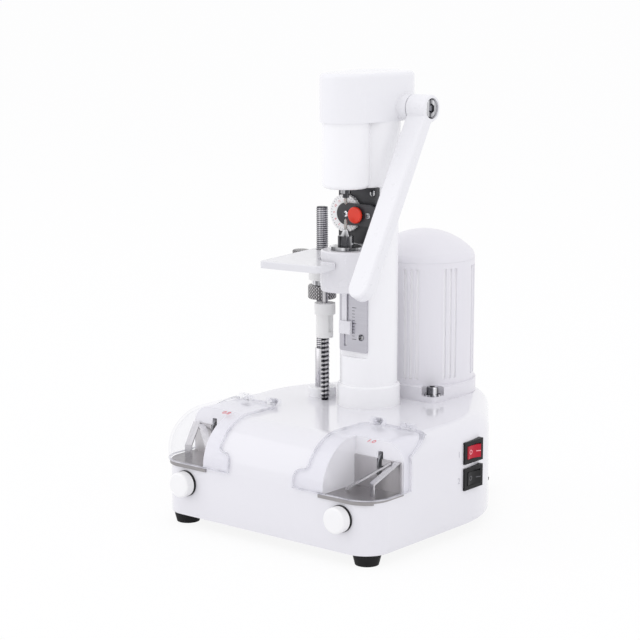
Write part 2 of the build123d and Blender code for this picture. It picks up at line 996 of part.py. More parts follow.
def drill_bit(tip, shank_end, upward):
    point = 1.2
    body_start = tip + point if upward else tip - point
    body = post(0, spindle_y, min(body_start, shank_end), max(body_start, shank_end), drill_radius)
    cone_z = tip + point / 2 if upward else tip - point / 2
    low = 0.15 if upward else drill_radius
    high = drill_radius if upward else 0.15
    return body + Pos(0, spindle_y, cone_z) * Cone(low, high, point)


def pulley(x, y, bottom, height, radius, bore):
    wheel = post(x, y, bottom, bottom + height, radius)
    middle = bottom + height / 2
    half = belt_height / 2 + loose_gap
    groove = post(x, y, middle - half, middle + half, radius + 1)
    groove -= post(x, y, middle - half - 1, middle + half + 1, radius - pulley_groove)
    return wheel - groove - post(x, y, bottom - 1, bottom + height + 1, bore)


def upper_pulley():
    wheel = pulley(0, spindle_y, pulley_bottom, pulley_height, pulley_radius, spindle_top_radius + shaft_gap)
    hub = post(0, spindle_y, pulley_bottom + pulley_height, bridge_bottom + bridge_thickness, pulley_hub_radius)
    hub -= post(0, spindle_y, 0, 400, spindle_top_radius + shaft_gap)
    return wheel + hub


def column_shaft():
    return post(0, column_y, column_shaft_bottom, bridge_bottom + bridge_thickness, column_shaft_radius)


def column_pulleys():
    top = pulley(0, column_y, pulley_bottom, pulley_height, pulley_radius, column_shaft_radius)
    bottom = pulley(
        0,
        column_y,
        base_pulley_bottom,
        base_pulley_height,
        column_pulley_radius,
        column_shaft_radius,
    )
    return [top, bottom]


def bearing_bridge():
    bridge = extrude(Pos(0, 0, bridge_bottom) * cap_plan(-cap_wall), bridge_thickness)
    bridge -= post(0, spindle_y, 0, 400, pulley_hub_radius + shaft_gap)
    return bridge - post(0, column_y, 0, 400, column_shaft_radius + shaft_gap)


def shaft_bearings():
    made = [bearing_bridge()]
    for bottom in (base_top, column_top - bearing_thickness):
        ring = post(0, column_y, bottom, bottom + bearing_thickness, column_bore)
        made.append(ring - post(0, column_y, 0, 400, column_shaft_radius + shaft_gap))
    foot = post(0, motor_y, base_top, base_top + flange_height, motor_shaft_radius + 6)
    made.append(foot - post(0, motor_y, 0, 400, motor_shaft_radius + shaft_gap))
    return made


def belt(front, back, radius_front, radius_back, middle):
    length = back - front
    lean = asin((radius_back - radius_front) / length)
    made = []
    for grow in (belt_thickness + loose_gap, loose_gap):
        small = radius_front - pulley_groove + grow
        large = radius_back - pulley_groove + grow
        web = Polyline(
            (small * cos(lean), front - small * sin(lean)),
            (large * cos(lean), back - large * sin(lean)),
            (-large * cos(lean), back - large * sin(lean)),
            (-small * cos(lean), front - small * sin(lean)),
            close=True,
        )
        plan = Pos(0, front) * Circle(small) + Pos(0, back) * Circle(large) + make_face(web)
        made.append(extrude(Pos(0, 0, middle - belt_height / 2) * plan, belt_height))
    return made[0] - made[1]


def drive_belts():
    upper = belt(spindle_y, column_y, pulley_radius, pulley_radius, pulley_bottom + pulley_height / 2)
    lower_z = base_pulley_bottom + base_pulley_height / 2
    lower = belt(column_y, motor_y, column_pulley_radius, motor_pulley_radius, lower_z)
    return [upper, lower]


# Lower block, its lift and the lower spindle

block_back_y = column_y - plate_flat - block_back_gap


def lower_block():
    body = post(0, spindle_y, block_bottom, block_top, block_radius)
    body = fillet(body.edges(), block_round)
    body -= box(-50, 50, block_back_y, block_back_y + 50, block_bottom - 1, block_top + 1)
    neck = box(
        loose_gap - key_neck_half,
        key_neck_half - loose_gap,
        block_back_y,
        column_y - key_neck_end + loose_gap,
        key_bottom,
        key_top,
    )
    head = box(
        loose_gap - key_head_half,
        key_head_half - loose_gap,
        column_y - key_neck_end + loose_gap,
        column_y - key_head_end - loose_gap,
        key_bottom,
        key_top,
    )
    run_x = front_rod_x
    run_y = front_rod_y - spindle_y
    reach = hypot(run_x, run_y)
    turn = degrees(atan2(run_y, run_x))
    arm = Pos(0, spindle_y, block_bottom + arm_thickness / 2) * Rot(0, 0, turn) * (
        Pos(reach / 2 + block_radius / 2 - 3, 0, 0) * Box(reach - block_radius + 6, arm_width, arm_thickness)
    )
    arm += post(front_rod_x, front_rod_y, block_bottom, block_bottom + arm_thickness, arm_boss_radius)
    arm -= box(
        -scale_half - loose_gap,
        scale_half + loose_gap,
        block_back_y,
        column_y,
        block_bottom - 1,
        block_top + 1,
    )
    body = body + neck + head + arm
    bore = lower_spindle_radius + shaft_gap
    body -= post(0, spindle_y, lower_spindle_bottom, block_top + 1, bore)
    return body


def pointer():
    face = column_y - plate_flat - scale_thickness - loose_gap
    strip = box(
        scale_slot_x - pointer_strip_half,
        scale_slot_x + pointer_strip_half,
        face - pointer_strip_thickness,
        face,
        pointer_z,
        block_bottom,
    )
    left = scale_slot_x - pointer_width / 2 + 1.5
    block = box(
        left,
        left + pointer_width,
        face - pointer_thickness,
        face,
        pointer_z - pointer_height / 2,
        pointer_z + pointer_height / 2,
    )
    return strip + block


def lower_spindle():
    body = post(0, spindle_y, lower_spindle_bottom + loose_gap, block_top, lower_spindle_radius)
    return body - post(0, spindle_y, block_top - 5, block_top + 1, drill_radius)


chuck_bottom = block_top + loose_gap


def lower_chuck():
    disc_top = chuck_bottom + chuck_disc_thickness
    body_top = disc_top + chuck_height
    cone_top = body_top + chuck_cone_height
    disc = post(0, spindle_y, chuck_bottom, disc_top, chuck_disc_radius)
    disc = fillet(disc.edges().group_by(Axis.Z)[-1], 0.6)
    neck = post(0, spindle_y, block_top, chuck_bottom, lower_spindle_radius - 1)
    body = post(0, spindle_y, disc_top, body_top, chuck_radius)
    for turn in range(3):
        slot = Pos(chuck_radius, 0, 0) * Box(3.2, chuck_slot, chuck_height)
        body -= Pos(0, spindle_y, (disc_top + body_top) / 2) * Rot(0, 0, 30 + 120 * turn) * slot
    cone = Pos(0, spindle_y, (body_top + cone_top) / 2)
    cone *= Cone(chuck_cone_radius, chuck_nose_radius, chuck_cone_height)
    whole = neck + disc + body + cone
    return whole - post(0, spindle_y, block_top - 1, cone_top + 1, drill_radius)


def lift_sleeve():
    body = post(front_rod_x, front_rod_y, sleeve_bottom, sleeve_step, sleeve_radius)
    body += post(front_rod_x, front_rod_y, sleeve_step, sleeve_top, sleeve_top_radius)
    body -= post(front_rod_x, front_rod_y, sleeve_bottom - 1, sleeve_bore_top, front_rod_radius + shaft_gap)
    thumb = post(front_rod_x + sleeve_radius + 2.5, front_rod_y, sleeve_bottom + 4, sleeve_step, 4.0)
    return body - thumb


def lift_stem():
    return post(front_rod_x, front_rod_y, sleeve_top, block_bottom - loose_gap, stem_radius)


# Rods

def ribbed_rod(x, y, bottom, top, radius, pitch):
    rod = post(x, y, bottom, top, radius - thread_depth)
    count = int((top - bottom) / pitch)
    rings = []
    for index in range(count):
        middle = bottom + (index + 0.5) * pitch
        rings.append(post(x, y, middle - pitch / 4, middle + pitch / 4, radius))
    return rod.fuse(*rings)


def front_rod():
    return ribbed_rod(front_rod_x, front_rod_y, base_top, front_rod_top, front_rod_radius, front_rod_pitch)


def rear_rod():
    lower = post(rear_rod_x, rear_rod_y, rod_boss_top, rear_rod_lower_top, rear_rod_lower_radius)
    upper = post(rear_rod_x, rear_rod_y, rear_rod_lower_top, rear_rod_top, rear_rod_radius)
    upper = chamfer(upper.edges().group_by(Axis.Z)[-1], 0.8)
    return lower + upper


def rod_boss():
    boss = post(rear_rod_x, rear_rod_y, base_top, rod_boss_top, rod_boss_radius)
    return fillet(boss.edges().group_by(Axis.Z)[-1], 1.0)


# Table, turned about the rear rod as the photograph shows it

def turned(shape):
    home = Pos(rear_rod_x, rear_rod_y, 0)
    return home * Rot(0, 0, table_turn) * shape


def table_plate():
    left = -table_left
    right = table_width - table_left
    plate = box(left, right, -table_front, table_back, table_bottom, table_bottom + table_thickness)
    plate = fillet(plate.edges().filter_by(Axis.Z), table_corner)
    plate = fillet(plate.edges().group_by(Axis.Z)[-1], 0.8)
    plate = turned(plate)
    tall = table_bottom - 1
    plate -= post(0, spindle_y, tall, tall + 20, block_radius + notch_gap)
    bite = box(rear_rod_x + table_inner_reach, 50, spindle_y, spindle_y + 60, tall, tall + 20)
    plate -= bite
    plate -= post(rear_rod_x, rear_rod_y, tall, tall + 20, rear_rod_radius + loose_gap)
    return max(plate.solids(), key=lambda piece: piece.volume)


def table_hub():
    hub = post(rear_rod_x, rear_rod_y, hub_bottom, table_bottom, hub_radius)
    ear_top = lock_bottom - loose_gap
    ear = box(lock_x, 0, lock_back - 5, lock_back + 5, ear_top - lock_ear_thickness, ear_top)
    ear += post(lock_x, lock_back, ear_top - lock_ear_thickness, ear_top, 5)
    ear -= post(lock_x, lock_back, 0, 400, lock_stem_radius + shaft_gap)
    whole = hub + turned(ear)
    return whole - post(rear_rod_x, rear_rod_y, 0, 400, rear_rod_radius + shaft_gap)


def table_neck():
    neck = post(rear_rod_x, rear_rod_y, nut_top + loose_gap, hub_bottom - 0.2, neck_radius)
    return neck - post(rear_rod_x, rear_rod_y, 0, 400, rear_rod_radius + shaft_gap)


def knurled(radius, bottom, top, count, depth):
    grip = post(0, 0, bottom, top, radius)
    grip = chamfer(grip.edges(), 0.7)
    cuts = []
    for index in range(count):
        groove = Pos(radius + depth * 0.4, 0, (bottom + top) / 2) * Rot(0, 0, 45)
        cuts.append(Rot(0, 0, 360 / count * index) * groove * Box(depth, depth, top - bottom + 1))
    return grip.cut(*cuts)


def table_nut():
    grip = Pos(rear_rod_x, rear_rod_y, 0) * knurled(nut_radius, nut_bottom, nut_top, nut_knurls, 0.9)
    return grip - post(rear_rod_x, rear_rod_y, 0, 400, rear_rod_radius + shaft_gap)


def lock_knob():
    grip = knurled(lock_radius, lock_bottom, lock_bottom + lock_height, lock_knurls, 0.8)
    stem = post(0, 0, lock_bottom - lock_ear_thickness - loose_gap, lock_bottom, lock_stem_radius)
    return turned(Pos(lock_x, lock_back, 0) * (grip + stem))


# Dial group

bracket_y = column_y - bracket_front
dial_back_y = bracket_y - loose_gap
dial_front_y = dial_back_y - dial_thickness
oval_back_y = dial_front_y - loose_gap
oval_front_y = oval_back_y - oval_thickness
oval_screws = (button_x - oval_screw_spacing / 2, button_x + oval_screw_spacing / 2)


def dial_bracket():
    plate = box(
        -bracket_half,
        bracket_half,
        bracket_y,
        bracket_y + bracket_thickness,
        bracket_bottom,
        head_bottom,
    )
    lip = box(
        bracket_half,
        bracket_half + bracket_lip,
        bracket_y - 2.0,
        bracket_y + bracket_thickness,
        bracket_bottom,
        head_bottom,
    )
    plate += lip
    plate -= bar_y(bracket_y - 5, bracket_y + 5, dial_x, dial_z, dial_shaft_radius + shaft_gap)
    return plate


def serrated_dial():
    disc = bar_y(dial_front_y, dial_back_y, dial_x, dial_z, dial_radius)
    cuts = []
    for index in range(dial_teeth):
        angle = 2 * pi * index / dial_teeth
        x = dial_x + dial_radius * cos(angle)
        z = dial_z + dial_radius * sin(angle)
        cuts.append(bar_y(dial_front_y - 1, dial_back_y + 1, x, z, 0.5))
    disc = disc.cut(*cuts)
    shaft = bar_y(dial_back_y, bracket_y + bracket_thickness, dial_x, dial_z, dial_shaft_radius)
    return disc + shaft


def button_plate():
    half = oval_width / 2 - oval_height / 2
    plan = SlotCenterToCenter(2 * half, oval_height)
    plate = Pos(button_x, oval_back_y, dial_z) * Rot(90, 0, 0) * extrude(plan, oval_thickness)
    plate -= bar_y(oval_front_y - 1, oval_back_y + 1, button_x, dial_z, button_stem_radius + shaft_gap)
    for x in oval_screws:
        plate -= bar_y(oval_front_y - 1, oval_back_y + 1, x, dial_z, trim_screw_radius)
    arm = box(
        bracket_half + bracket_lip,
        button_x + oval_width / 2 - 1,
        oval_back_y,
        bracket_y + bracket_thickness,
        dial_z - 3,
        dial_z + 3,
    )
    return plate + arm


def red_button():
    face = oval_front_y - button_reach
    cap = bar_y(face, oval_front_y - 1.6, button_x, dial_z, button_radius)
    rim = [edge for edge in cap.edges() if abs(edge.center().Y - face) < 0.01]
    cap = fillet(rim, 1.0)
    stem = bar_y(oval_front_y - 1.6, oval_back_y - 0.8, button_x, dial_z, button_stem_radius)
    return cap + stem


def scale_plate():
    back = column_y - plate_flat
    plate = box(-scale_half, scale_half, back - scale_thickness, back, scale_bottom, scale_top)
    plate = fillet(plate.edges().filter_by(Axis.Y).group_by(Axis.Z)[0], 1.5)
    slot = box(
        scale_slot_x - scale_slot_half,
        scale_slot_x + scale_slot_half,
        back - 5,
        back + 0.01,
        scale_slot_bottom,
        scale_top - 8,
    )
    return plate - slot


def trim_screws():
    made = []
    for x in oval_screws:
        face = oval_front_y
        head = bar_y(face - trim_screw_head, face, x, dial_z, trim_screw_head_radius)
        shank = bar_y(face, oval_back_y, x, dial_z, trim_screw_radius)
        made.append(head + shank)
    face = bracket_y
    for x in (-bracket_half + 3.2, bracket_half - 3.2):
        made.append(bar_y(face - trim_screw_head, face, x, head_bottom - 4.0, trim_screw_head_radius))
    face = column_y - plate_flat - scale_thickness
    made.append(bar_y(face - trim_screw_head, face, 6.8, 126.3, trim_screw_head_radius))
    return made


# Motor

def motor_flange():
    corner = flange_half
    square = box(-corner, corner, motor_y - corner, motor_y, base_top, base_top + flange_height)
    square = fillet(square.edges().filter_by(Axis.Z).group_by(Axis.Y)[0], 3.0)
    plate = square + post(0, motor_y, base_top, base_top + flange_height, corner)
    for x, y in front_flange_screws:
        notch = post(x, y, base_top + flange_ledge, base_top + 20, flange_notch_radius)
        outward = box(
            min(x, 2 * x),
            max(x, 2 * x),
            y - 30,
            y,
            base_top + flange_ledge,
            base_top + 20,
        )
        plate -= notch + outward
        plate -= post(x, y, base_top - 1, base_top + 20, cap_screw_shank)
    return plate - post(0, motor_y, base_top - 1, base_top + 20, motor_shaft_radius + 6)


def motor_housing():
    bottom = base_top + flange_height
    body = post(0, motor_y, bottom, motor_top, motor_radius)
    cuts = []
    for group in range(fin_groups):
        for index in range(fins_in_group):
            turn = 360 / fin_groups * group + (index - (fins_in_group - 1) / 2) * fin_pitch
            groove = Pos(motor_radius, 0, (bottom + motor_top) / 2)
            groove *= Box(2 * fin_depth, fin_width, motor_top - bottom - 8)
            cuts.append(Pos(0, motor_y, 0) * Rot(0, 0, turn + 22.5) * groove)
    body = body.cut(*cuts)
    return body - post(0, motor_y, bottom - 1, motor_top + 1, motor_inner_radius)


def crowned_form(radius, height, shoulder, crown):
    """A turned cup: straight side, round shoulder and a gently crowned top, tangent all along."""
    inset = radius - shoulder
    centre_z = height - crown + sqrt((crown - shoulder) ** 2 - inset**2)
    rise = centre_z - (height - crown)
    lean = atan2(rise, inset)
    join_x = crown * cos(lean)
    join_z = height - crown + crown * sin(lean)
    middle = lean / 2
    upper = (lean + pi / 2) / 2
    side = Polyline((0, height), (0, 0), (radius, 0), (radius, centre_z))
    bend = ThreePointArc(
        (radius, centre_z),
        (inset + shoulder * cos(middle), centre_z + shoulder * sin(middle)),
        (join_x, join_z),
    )
    top = ThreePointArc(
        (join_x, join_z),
        (crown * cos(upper), height - crown + crown * sin(upper)),
        (0, height),
    )
    profile = make_face(side + bend + top)
    return Pos(0, motor_y, motor_top) * revolve(Plane.XZ * profile, Axis.Z)


def motor_dome():
    body = crowned_form(motor_radius, dome_height, dome_round, dome_crown_radius)
    gap = dome_wall
    hollow = crowned_form(motor_inner_radius, dome_height - gap, dome_round - gap, dome_crown_radius - gap)
    return body - hollow


def motor_stator():
    inner = rotor_radius + rotor_gap
    ring = post(0, motor_y, rotor_bottom, rotor_top, motor_inner_radius)
    return ring - post(0, motor_y, 0, 400, inner)


def motor_rotor():
    core = post(0, motor_y, rotor_bottom, rotor_top, rotor_radius)
    shaft = post(0, motor_y, base_pulley_bottom - 2, rotor_top + 8, motor_shaft_radius)
    return core + shaft


def motor_pulley():
    return pulley(
        0,
        motor_y,
        base_pulley_bottom,
        base_pulley_height,
        motor_pulley_radius,
        motor_shaft_radius,
    )


def motor_screws():
    made = []
    for x, y in front_flange_screws:
        seat = base_top + flange_ledge
        washer = post(x, y, seat, seat + washer_thickness, washer_radius)
        washer -= post(x, y, 0, 200, cap_screw_shank)
        start = seat + washer_thickness
        head = post(x, y, start, start + cap_screw_head, cap_screw_head_radius)
        head = chamfer(head.edges().group_by(Axis.Z)[-1], 0.5)
        head -= Pos(x, y, start + cap_screw_head) * extrude(RegularPolygon(2.3, 6), -2.5)
        shank = post(x, y, base_top - wall, start, cap_screw_shank)
        made += [washer, head + shank]
    return made


# Switches and inlet

def switch_bezels():
    made = []
    for z in (red_switch_z, black_switch_z):
        half = switch_width / 2
        high = switch_height / 2
        outer = half_width + bezel_proud
        seat = half_width - bezel_seat
        rim = box(seat, outer, switch_y - half, switch_y + half, z - high, z + high)
        skirt = switch_body(z, 0, half_width - bezel_depth, seat)
        rim += skirt
        rim -= switch_body(z, 1.2, half_width - bezel_depth + 2, outer + 1)
        pin = Pos(rocker_pivot_x, switch_y, z) * Cylinder(1.0, switch_height - 2 * bezel_rim - 2)
        made.append(rim + pin)
    return made


rocker_pivot_x = half_width - 3.5


def rocker(z, tilt):
    half = switch_width / 2 - bezel_rim - 1.2 - loose_gap - 1.0
    high = switch_height / 2 - bezel_rim - 1.2 - loose_gap
    face = half_width + bezel_proud + rocker_proud - rocker_pivot_x
    outline = Polyline((-1.6, -2.6), (face - 0.8, -half), (face, -half + 0.5))
    crown = ThreePointArc((face, -half + 0.5), (face - 1.3, 0), (face, half - 0.5))
    closing = Polyline((face, half - 0.5), (face - 0.8, half), (-1.6, 2.6), (-1.6, -2.6))
    body = extrude(make_face(outline + crown + closing), high, both=True)
    body -= Cylinder(1.0 + shaft_gap, 4 * high)
    return Pos(rocker_pivot_x, switch_y, z) * Rot(0, 0, tilt) * body


def power_inlet():
    outer = -half_width - inlet_flange_thickness
    inner = inlet_depth - half_width
    half = inlet_width / 2
    high = inlet_height / 2
    shell = box(-half_width, inner, inlet_y - half, inlet_y + half, inlet_z - high, inlet_z + high)
    flange = box(
        outer,
        -half_width,
        inlet_y - half - inlet_flange,
        inlet_y + half + inlet_flange,
        inlet_z - high - 1.5,
        inlet_z + high + 1.5,
    )
    flange = fillet(flange.edges().filter_by(Axis.X), 2.0)
    shell += flange
    shell -= box(
        outer - 1,
        inner - 2,
        inlet_y - half + 2,
        inlet_y + half - 2,
        inlet_z - high + 2,
        inlet_z + high - 2,
    )
    made = [shell]
    for y in (-7, 0, 7):
        z = inlet_z + (3 if y == 0 else -1)
        pin = box(5 - half_width, inner - 2, inlet_y + y - 1, inlet_y + y + 1, z - 2, z + 2)
        made.append(pin)
    return made


save("base_housing", base_housing())
save("base_plate", base_plate())
save("rubber_feet", *rubber_feet())
save("pocket_floors", *pair(pocket_floor()))
save("pocket_backs", *pair(pocket_back()))
save("lens_guides", *lens_guides())
right_guard = guard()
save("guard_right", right_guard)
save("guard_left", mirror(right_guard, Plane.YZ))
save("guard_hinges", *guard_hinges())
save("cut_motor", cut_motor())
save("cutter_shaft", cutter_shaft())
save("cutter_wheels", *cutter_wheels())
save("knob_right", front_knob(1))
save("knob_left", front_knob(-1))
save("knob_rings", *knob_rings())
save("column_tube", column_tube())
save("column_collar", column_collar(), rod_boss())
save("head_housing", head_housing())
save("head_cap", head_cap())
save("head_deck", head_deck())
save("lever_bearings", *lever_bearings())
save("lever_arm", lever_arm())
save("lever_shaft", lever_shaft(), *lever_fork())
save("lever_screw", *lever_screw())
save("quill", quill())
save("upper_spindle", upper_spindle())
save("upper_bit", drill_bit(upper_tip, head_bottom + bit_seat, True))
save("upper_pulley", upper_pulley())
save("column_shaft", column_shaft(), *column_pulleys())
save("shaft_bearings", *shaft_bearings())
save("drive_belts", *drive_belts())
save("lower_block", lower_block(), pointer())
save("lower_spindle", lower_spindle())
save("lower_chuck", lower_chuck())
save("lower_bit", drill_bit(lower_tip, block_top - 4, False))
save("lift_sleeve", lift_sleeve())
save("lift_stem", lift_stem())
save("front_rod", front_rod())
save("rear_rod", rear_rod())
save("table_plate", table_plate())
save("table_hub", table_hub())
save("table_neck", table_neck())
save("table_nut", table_nut())
save("lock_knob", lock_knob())
save("dial_bracket", dial_bracket())
save("serrated_dial", serrated_dial())
save("button_plate", button_plate())
save("red_button", red_button())
save("scale_plate", scale_plate())
save("machine_screws", *foot_screws(), *trim_screws())
save("motor_flange", motor_flange())
save("motor_housing", motor_housing())
save("motor_dome", motor_dome())
save("motor_stator", motor_stator())
save("motor_rotor", motor_rotor(), motor_pulley())
save("motor_screws", *motor_screws())
save("switch_bezels", *switch_bezels())
save("rocker_red", rocker(red_switch_z, rocker_tilt))
save("rocker_black", rocker(black_switch_z, rocker_tilt))
save("power_inlet", *power_inlet())
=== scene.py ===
import math

import bmesh
import bpy
from mathutils import Matrix, Vector


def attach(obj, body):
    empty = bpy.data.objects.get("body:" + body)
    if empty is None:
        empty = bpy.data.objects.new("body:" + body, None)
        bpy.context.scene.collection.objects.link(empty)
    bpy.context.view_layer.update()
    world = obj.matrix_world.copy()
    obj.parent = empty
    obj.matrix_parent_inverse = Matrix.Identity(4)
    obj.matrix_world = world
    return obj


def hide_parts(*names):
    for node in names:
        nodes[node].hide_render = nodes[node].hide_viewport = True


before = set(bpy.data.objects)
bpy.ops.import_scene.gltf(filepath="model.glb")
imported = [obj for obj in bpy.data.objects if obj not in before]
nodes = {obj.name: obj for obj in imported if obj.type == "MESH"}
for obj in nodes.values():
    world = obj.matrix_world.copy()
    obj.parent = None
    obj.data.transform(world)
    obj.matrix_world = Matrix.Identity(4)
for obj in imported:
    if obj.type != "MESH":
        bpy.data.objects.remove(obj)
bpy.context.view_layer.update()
MM = 0.001
PER_METRE = 1000.0

# Sizes and places of the machine, in millimetres, as its frame has them

COLUMN_Y = 5.8
SPINDLE_Y = -20.2
FRONT_Y = -108.7
WALL_X = 91.4
FRONT_ROD, FRONT_CREST = (-30.0, -5.7), 3.3
REAR_ROD, REAR_CREST = (-40.9, 4.6), 4.3
LOCK_KNOB = (-61.25, 5.96)
KNOB_X, KNOB_Z = 67.5, 31.0

# Motor housing: how far in its grooves start, and over what width the painted light in them comes in

MOTOR_Y, MOTOR_RADIUS, MOTOR_BORE, MOTOR_TOP = 69.8, 36.2, 31.0, 172.5
GROOVE_START, GROOVE_BLEND = 0.3, 0.8

# Switches in the right wall, and the ring and bar marked on each rocker

SWITCH_Y = 2.1
RED_SWITCH_Z, BLACK_SWITCH_Z = 57.4, 39.4
MARK_RING_Y, MARK_RING_RADIUS = -3.5, 1.35
MARK_BAR_Y, MARK_BAR_HALF = 3.2, 1.6
MARK_LINE_HALF, MARK_DEPTH = 0.3, 1.0

# Front pockets in the housing: the box in which the finish paints light on the pocket walls

POCKET_SIDE, POCKET_DEEP, POCKET_FLOOR, POCKET_WALL = 51.9, 34.6, 44.0, 0.5

# Clear guards: outline, ear, slanted side cut, and the width of the line along a cut edge

HINGE_Y = FRONT_Y + 66.0
GUARD_INNER, GUARD_BOTTOM, GUARD_CORNER, GUARD_SKIN = 38.0, 44.6, 12.0, 1.0
EAR_X, EAR_TOP, EAR_ROUND, EAR_BLEND = 28.0, 58.0, 6.0, 3.5
SIDE_Y, SIDE_Z = FRONT_Y + 40.0, GUARD_BOTTOM + 22.5
SLANT_END_Y, SLANT_END_Z, SLANT_REACH = HINGE_Y - 2.0, 76.1, 14.0
EDGE_LINE, EDGE_SLACK = 0.5, 0.1

# Plates on the column's front, one before the other, and the dial with its button

DIAL_X, DIAL_Z = -8.8, 211.0
BUTTON_X = 3.6
PLATE_GAP, DIAL_THICK, OVAL_THICK = 0.3, 3.0, 1.8
BRACKET_FRONT = COLUMN_Y - 13.0
DIAL_FRONT = BRACKET_FRONT - PLATE_GAP - DIAL_THICK
OVAL_FRONT = DIAL_FRONT - PLATE_GAP - OVAL_THICK
SCALE_FRONT = COLUMN_Y - 17.5


# Shader building: a wrapped socket that takes part in plain arithmetic


class Reading:
    """A number that changes over a surface."""

    def __init__(self, finish, socket):
        self.finish = finish
        self.socket = socket

    def _math(self, operation, first, second=None):
        return self.finish.node("ShaderNodeMath", {"operation": operation}, [first, second])

    def __add__(self, other):
        return self._math("ADD", self, other)

    def __radd__(self, other):
        return self._math("ADD", other, self)

    def __sub__(self, other):
        return self._math("SUBTRACT", self, other)

    def __rsub__(self, other):
        return self._math("SUBTRACT", other, self)

    def __mul__(self, other):
        return self._math("MULTIPLY", self, other)

    def __rmul__(self, other):
        return self._math("MULTIPLY", other, self)

    def __truediv__(self, other):
        return self._math("DIVIDE", self, other)

    def __abs__(self):
        return self._math("ABSOLUTE", self)

    def below(self, other):
        return self._math("LESS_THAN", self, other)

    def above(self, other):
        return self._math("GREATER_THAN", self, other)

    def root(self):
        return self._math("SQRT", self)

    def sine(self):
        return self._math("SINE", self)

    def held(self):
        return self.finish.node("ShaderNodeClamp", {}, [self])


class Finish:
    """One procedural material, read on the piece's own object coordinates."""

    def __init__(self, name):
        self.material = bpy.data.materials.new(name)
        self.material.use_nodes = True
        self.tree = self.material.node_tree
        self.tree.nodes.clear()
        self.place = self.node("ShaderNodeTexCoord", {}, [], "Object")

    def node(self, kind, settings, values, output=0):
        """Adds a node. Its settings are set before the values and links of its sockets."""
        made = self.tree.nodes.new(kind)
        for key, value in settings.items():
            setattr(made, key, value)
        given = values.items() if isinstance(values, dict) else enumerate(values)
        for key, value in given:
            if value is None:
                continue
            if isinstance(value, Reading):
                self.tree.links.new(value.socket, made.inputs[key])
            else:
                made.inputs[key].default_value = value
        if not made.outputs:
            return None
        return Reading(self, made.outputs[output])

    def stretched(self, x, y, z):
        return self.node("ShaderNodeMapping", {}, {"Vector": self.place, "Scale": (x, y, z)})

    def noise(self, scale, detail=2.0, where=None):
        values = {"Vector": where or self.place, "Scale": scale, "Detail": detail}
        return self.node("ShaderNodeTexNoise", {}, values)

    def cells(self, scale):
        return self.node("ShaderNodeTexVoronoi", {"feature": "F1"}, {"Vector": self.place, "Scale": scale})

    def axis(self, name):
        return self.node("ShaderNodeSeparateXYZ", {}, [self.place], name)

    def between(self, share, first, second):
        values = {0: share}
        for key, value in ((6, first), (7, second)):
            values[key] = value if isinstance(value, Reading) else (*value, 1.0)
        return self.node("ShaderNodeMix", {"data_type": "RGBA"}, values, 2)

    def bump(self, height, strength, distance):
        values = {"Height": height, "Strength": strength, "Distance": distance}
        return self.node("ShaderNodeBump", {}, values)

    def surface(self, color, roughness, normal=None, **fixed):
        values = {"Base Color": color, "Roughness": roughness, "Normal": normal}
        for key, value in fixed.items():
            values[key.replace("_", " ")] = value
        return self.node("ShaderNodeBsdfPrincipled", {}, values)

    def done(self, shader):
        self.node("ShaderNodeOutputMaterial", {}, {"Surface": shader})
        return self.material


# Finishes


def mirrored_place(f):
    """X without its sign, then Y and Z, in millimetres."""
    return abs(f.axis("X")) * PER_METRE, f.axis("Y") * PER_METRE, f.axis("Z") * PER_METRE


def reach(first, second):
    """How far a spot is from a centre, for its two readings from there."""
    return (first * first + second * second).root()


def moulded_white(name, light, shade, pocket, rough, peel):
    """Glossy housing, with painted light on the walls of its two front pockets, standing in for the light the
    steel throws back.
    """
    f = Finish(name)
    x, y, z = mirrored_place(f)
    across = x.above(POCKET_SIDE) * x.below(WALL_X - POCKET_WALL)
    painted_light_share = across * y.below(FRONT_Y + POCKET_DEEP) * z.above(POCKET_FLOOR)
    cloud = f.noise(9.0, 3.0)
    # painted light: the pocket colour lifts the shaded pocket walls
    color = f.between(painted_light_share, f.between(cloud, light, shade), pocket)
    rub = f.noise(55.0, 4.0)
    skin = f.noise(peel, 2.0)
    ripple = f.noise(38.0, 1.0)
    normal = f.bump(skin * 0.35 + ripple * 0.65, 0.10, 0.00012)
    roughness = rough + 0.06 * rub
    return f.done(f.surface(color, roughness, normal, Coat_Weight=0.35, Coat_Roughness=0.06, IOR=1.5))


def sprayed_white(name, light, shade, rough, peel, depth):
    f = Finish(name)
    cloud = f.noise(14.0, 3.0)
    color = f.between(cloud, light, shade)
    skin = f.noise(peel, 3.0)
    dust = f.noise(160.0, 5.0)
    normal = f.bump(skin, 0.22, depth)
    roughness = rough + 0.09 * dust
    return f.done(f.surface(color, roughness, normal, IOR=1.5))


def finned_white(name, light, shade, painted_valley_tone, rough):
    """Motor paint that is paler in the grooves between the fins: painted light, standing in for the light
    that bounces there.
    """
    f = Finish(name)
    from_axis = reach(f.axis("X"), f.axis("Y") - MOTOR_Y * MM)
    painted_light_share = (((MOTOR_RADIUS - GROOVE_START) * MM - from_axis) / (GROOVE_BLEND * MM)).held()
    cloud = f.noise(14.0, 3.0)
    dust = f.noise(160.0, 5.0)
    # painted light: the grooves' colour is lifted against their shade
    color = f.between(painted_light_share, f.between(cloud, light, shade), painted_valley_tone)
    normal = f.bump(f.noise(480.0, 3.0), 0.22, 0.0002)
    return f.done(f.surface(color, rough + 0.09 * dust, normal, IOR=1.5))


def satin_plastic(name, light, shade, rough):
    f = Finish(name)
    grain = f.noise(1500.0, 2.0)
    cloud = f.noise(40.0, 3.0)
    color = f.between(cloud, light, shade)
    normal = f.bump(grain, 0.35, 0.00005)
    return f.done(f.surface(color, rough + 0.1 * cloud, normal, IOR=1.47))


def milky_plastic():
    f = Finish("milky plastic")
    cloud = f.noise(25.0, 3.0)
    color = f.between(cloud, (0.74, 0.74, 0.765), (0.79, 0.79, 0.81))
    scuff = f.noise(90.0, 5.0, f.stretched(1.0, 6.0, 1.0))
    normal = f.bump(f.noise(600.0), 0.15, 0.00005)
    return f.done(f.surface(color, 0.16 + 0.12 * scuff, normal, IOR=1.46, Coat_Weight=0.2))


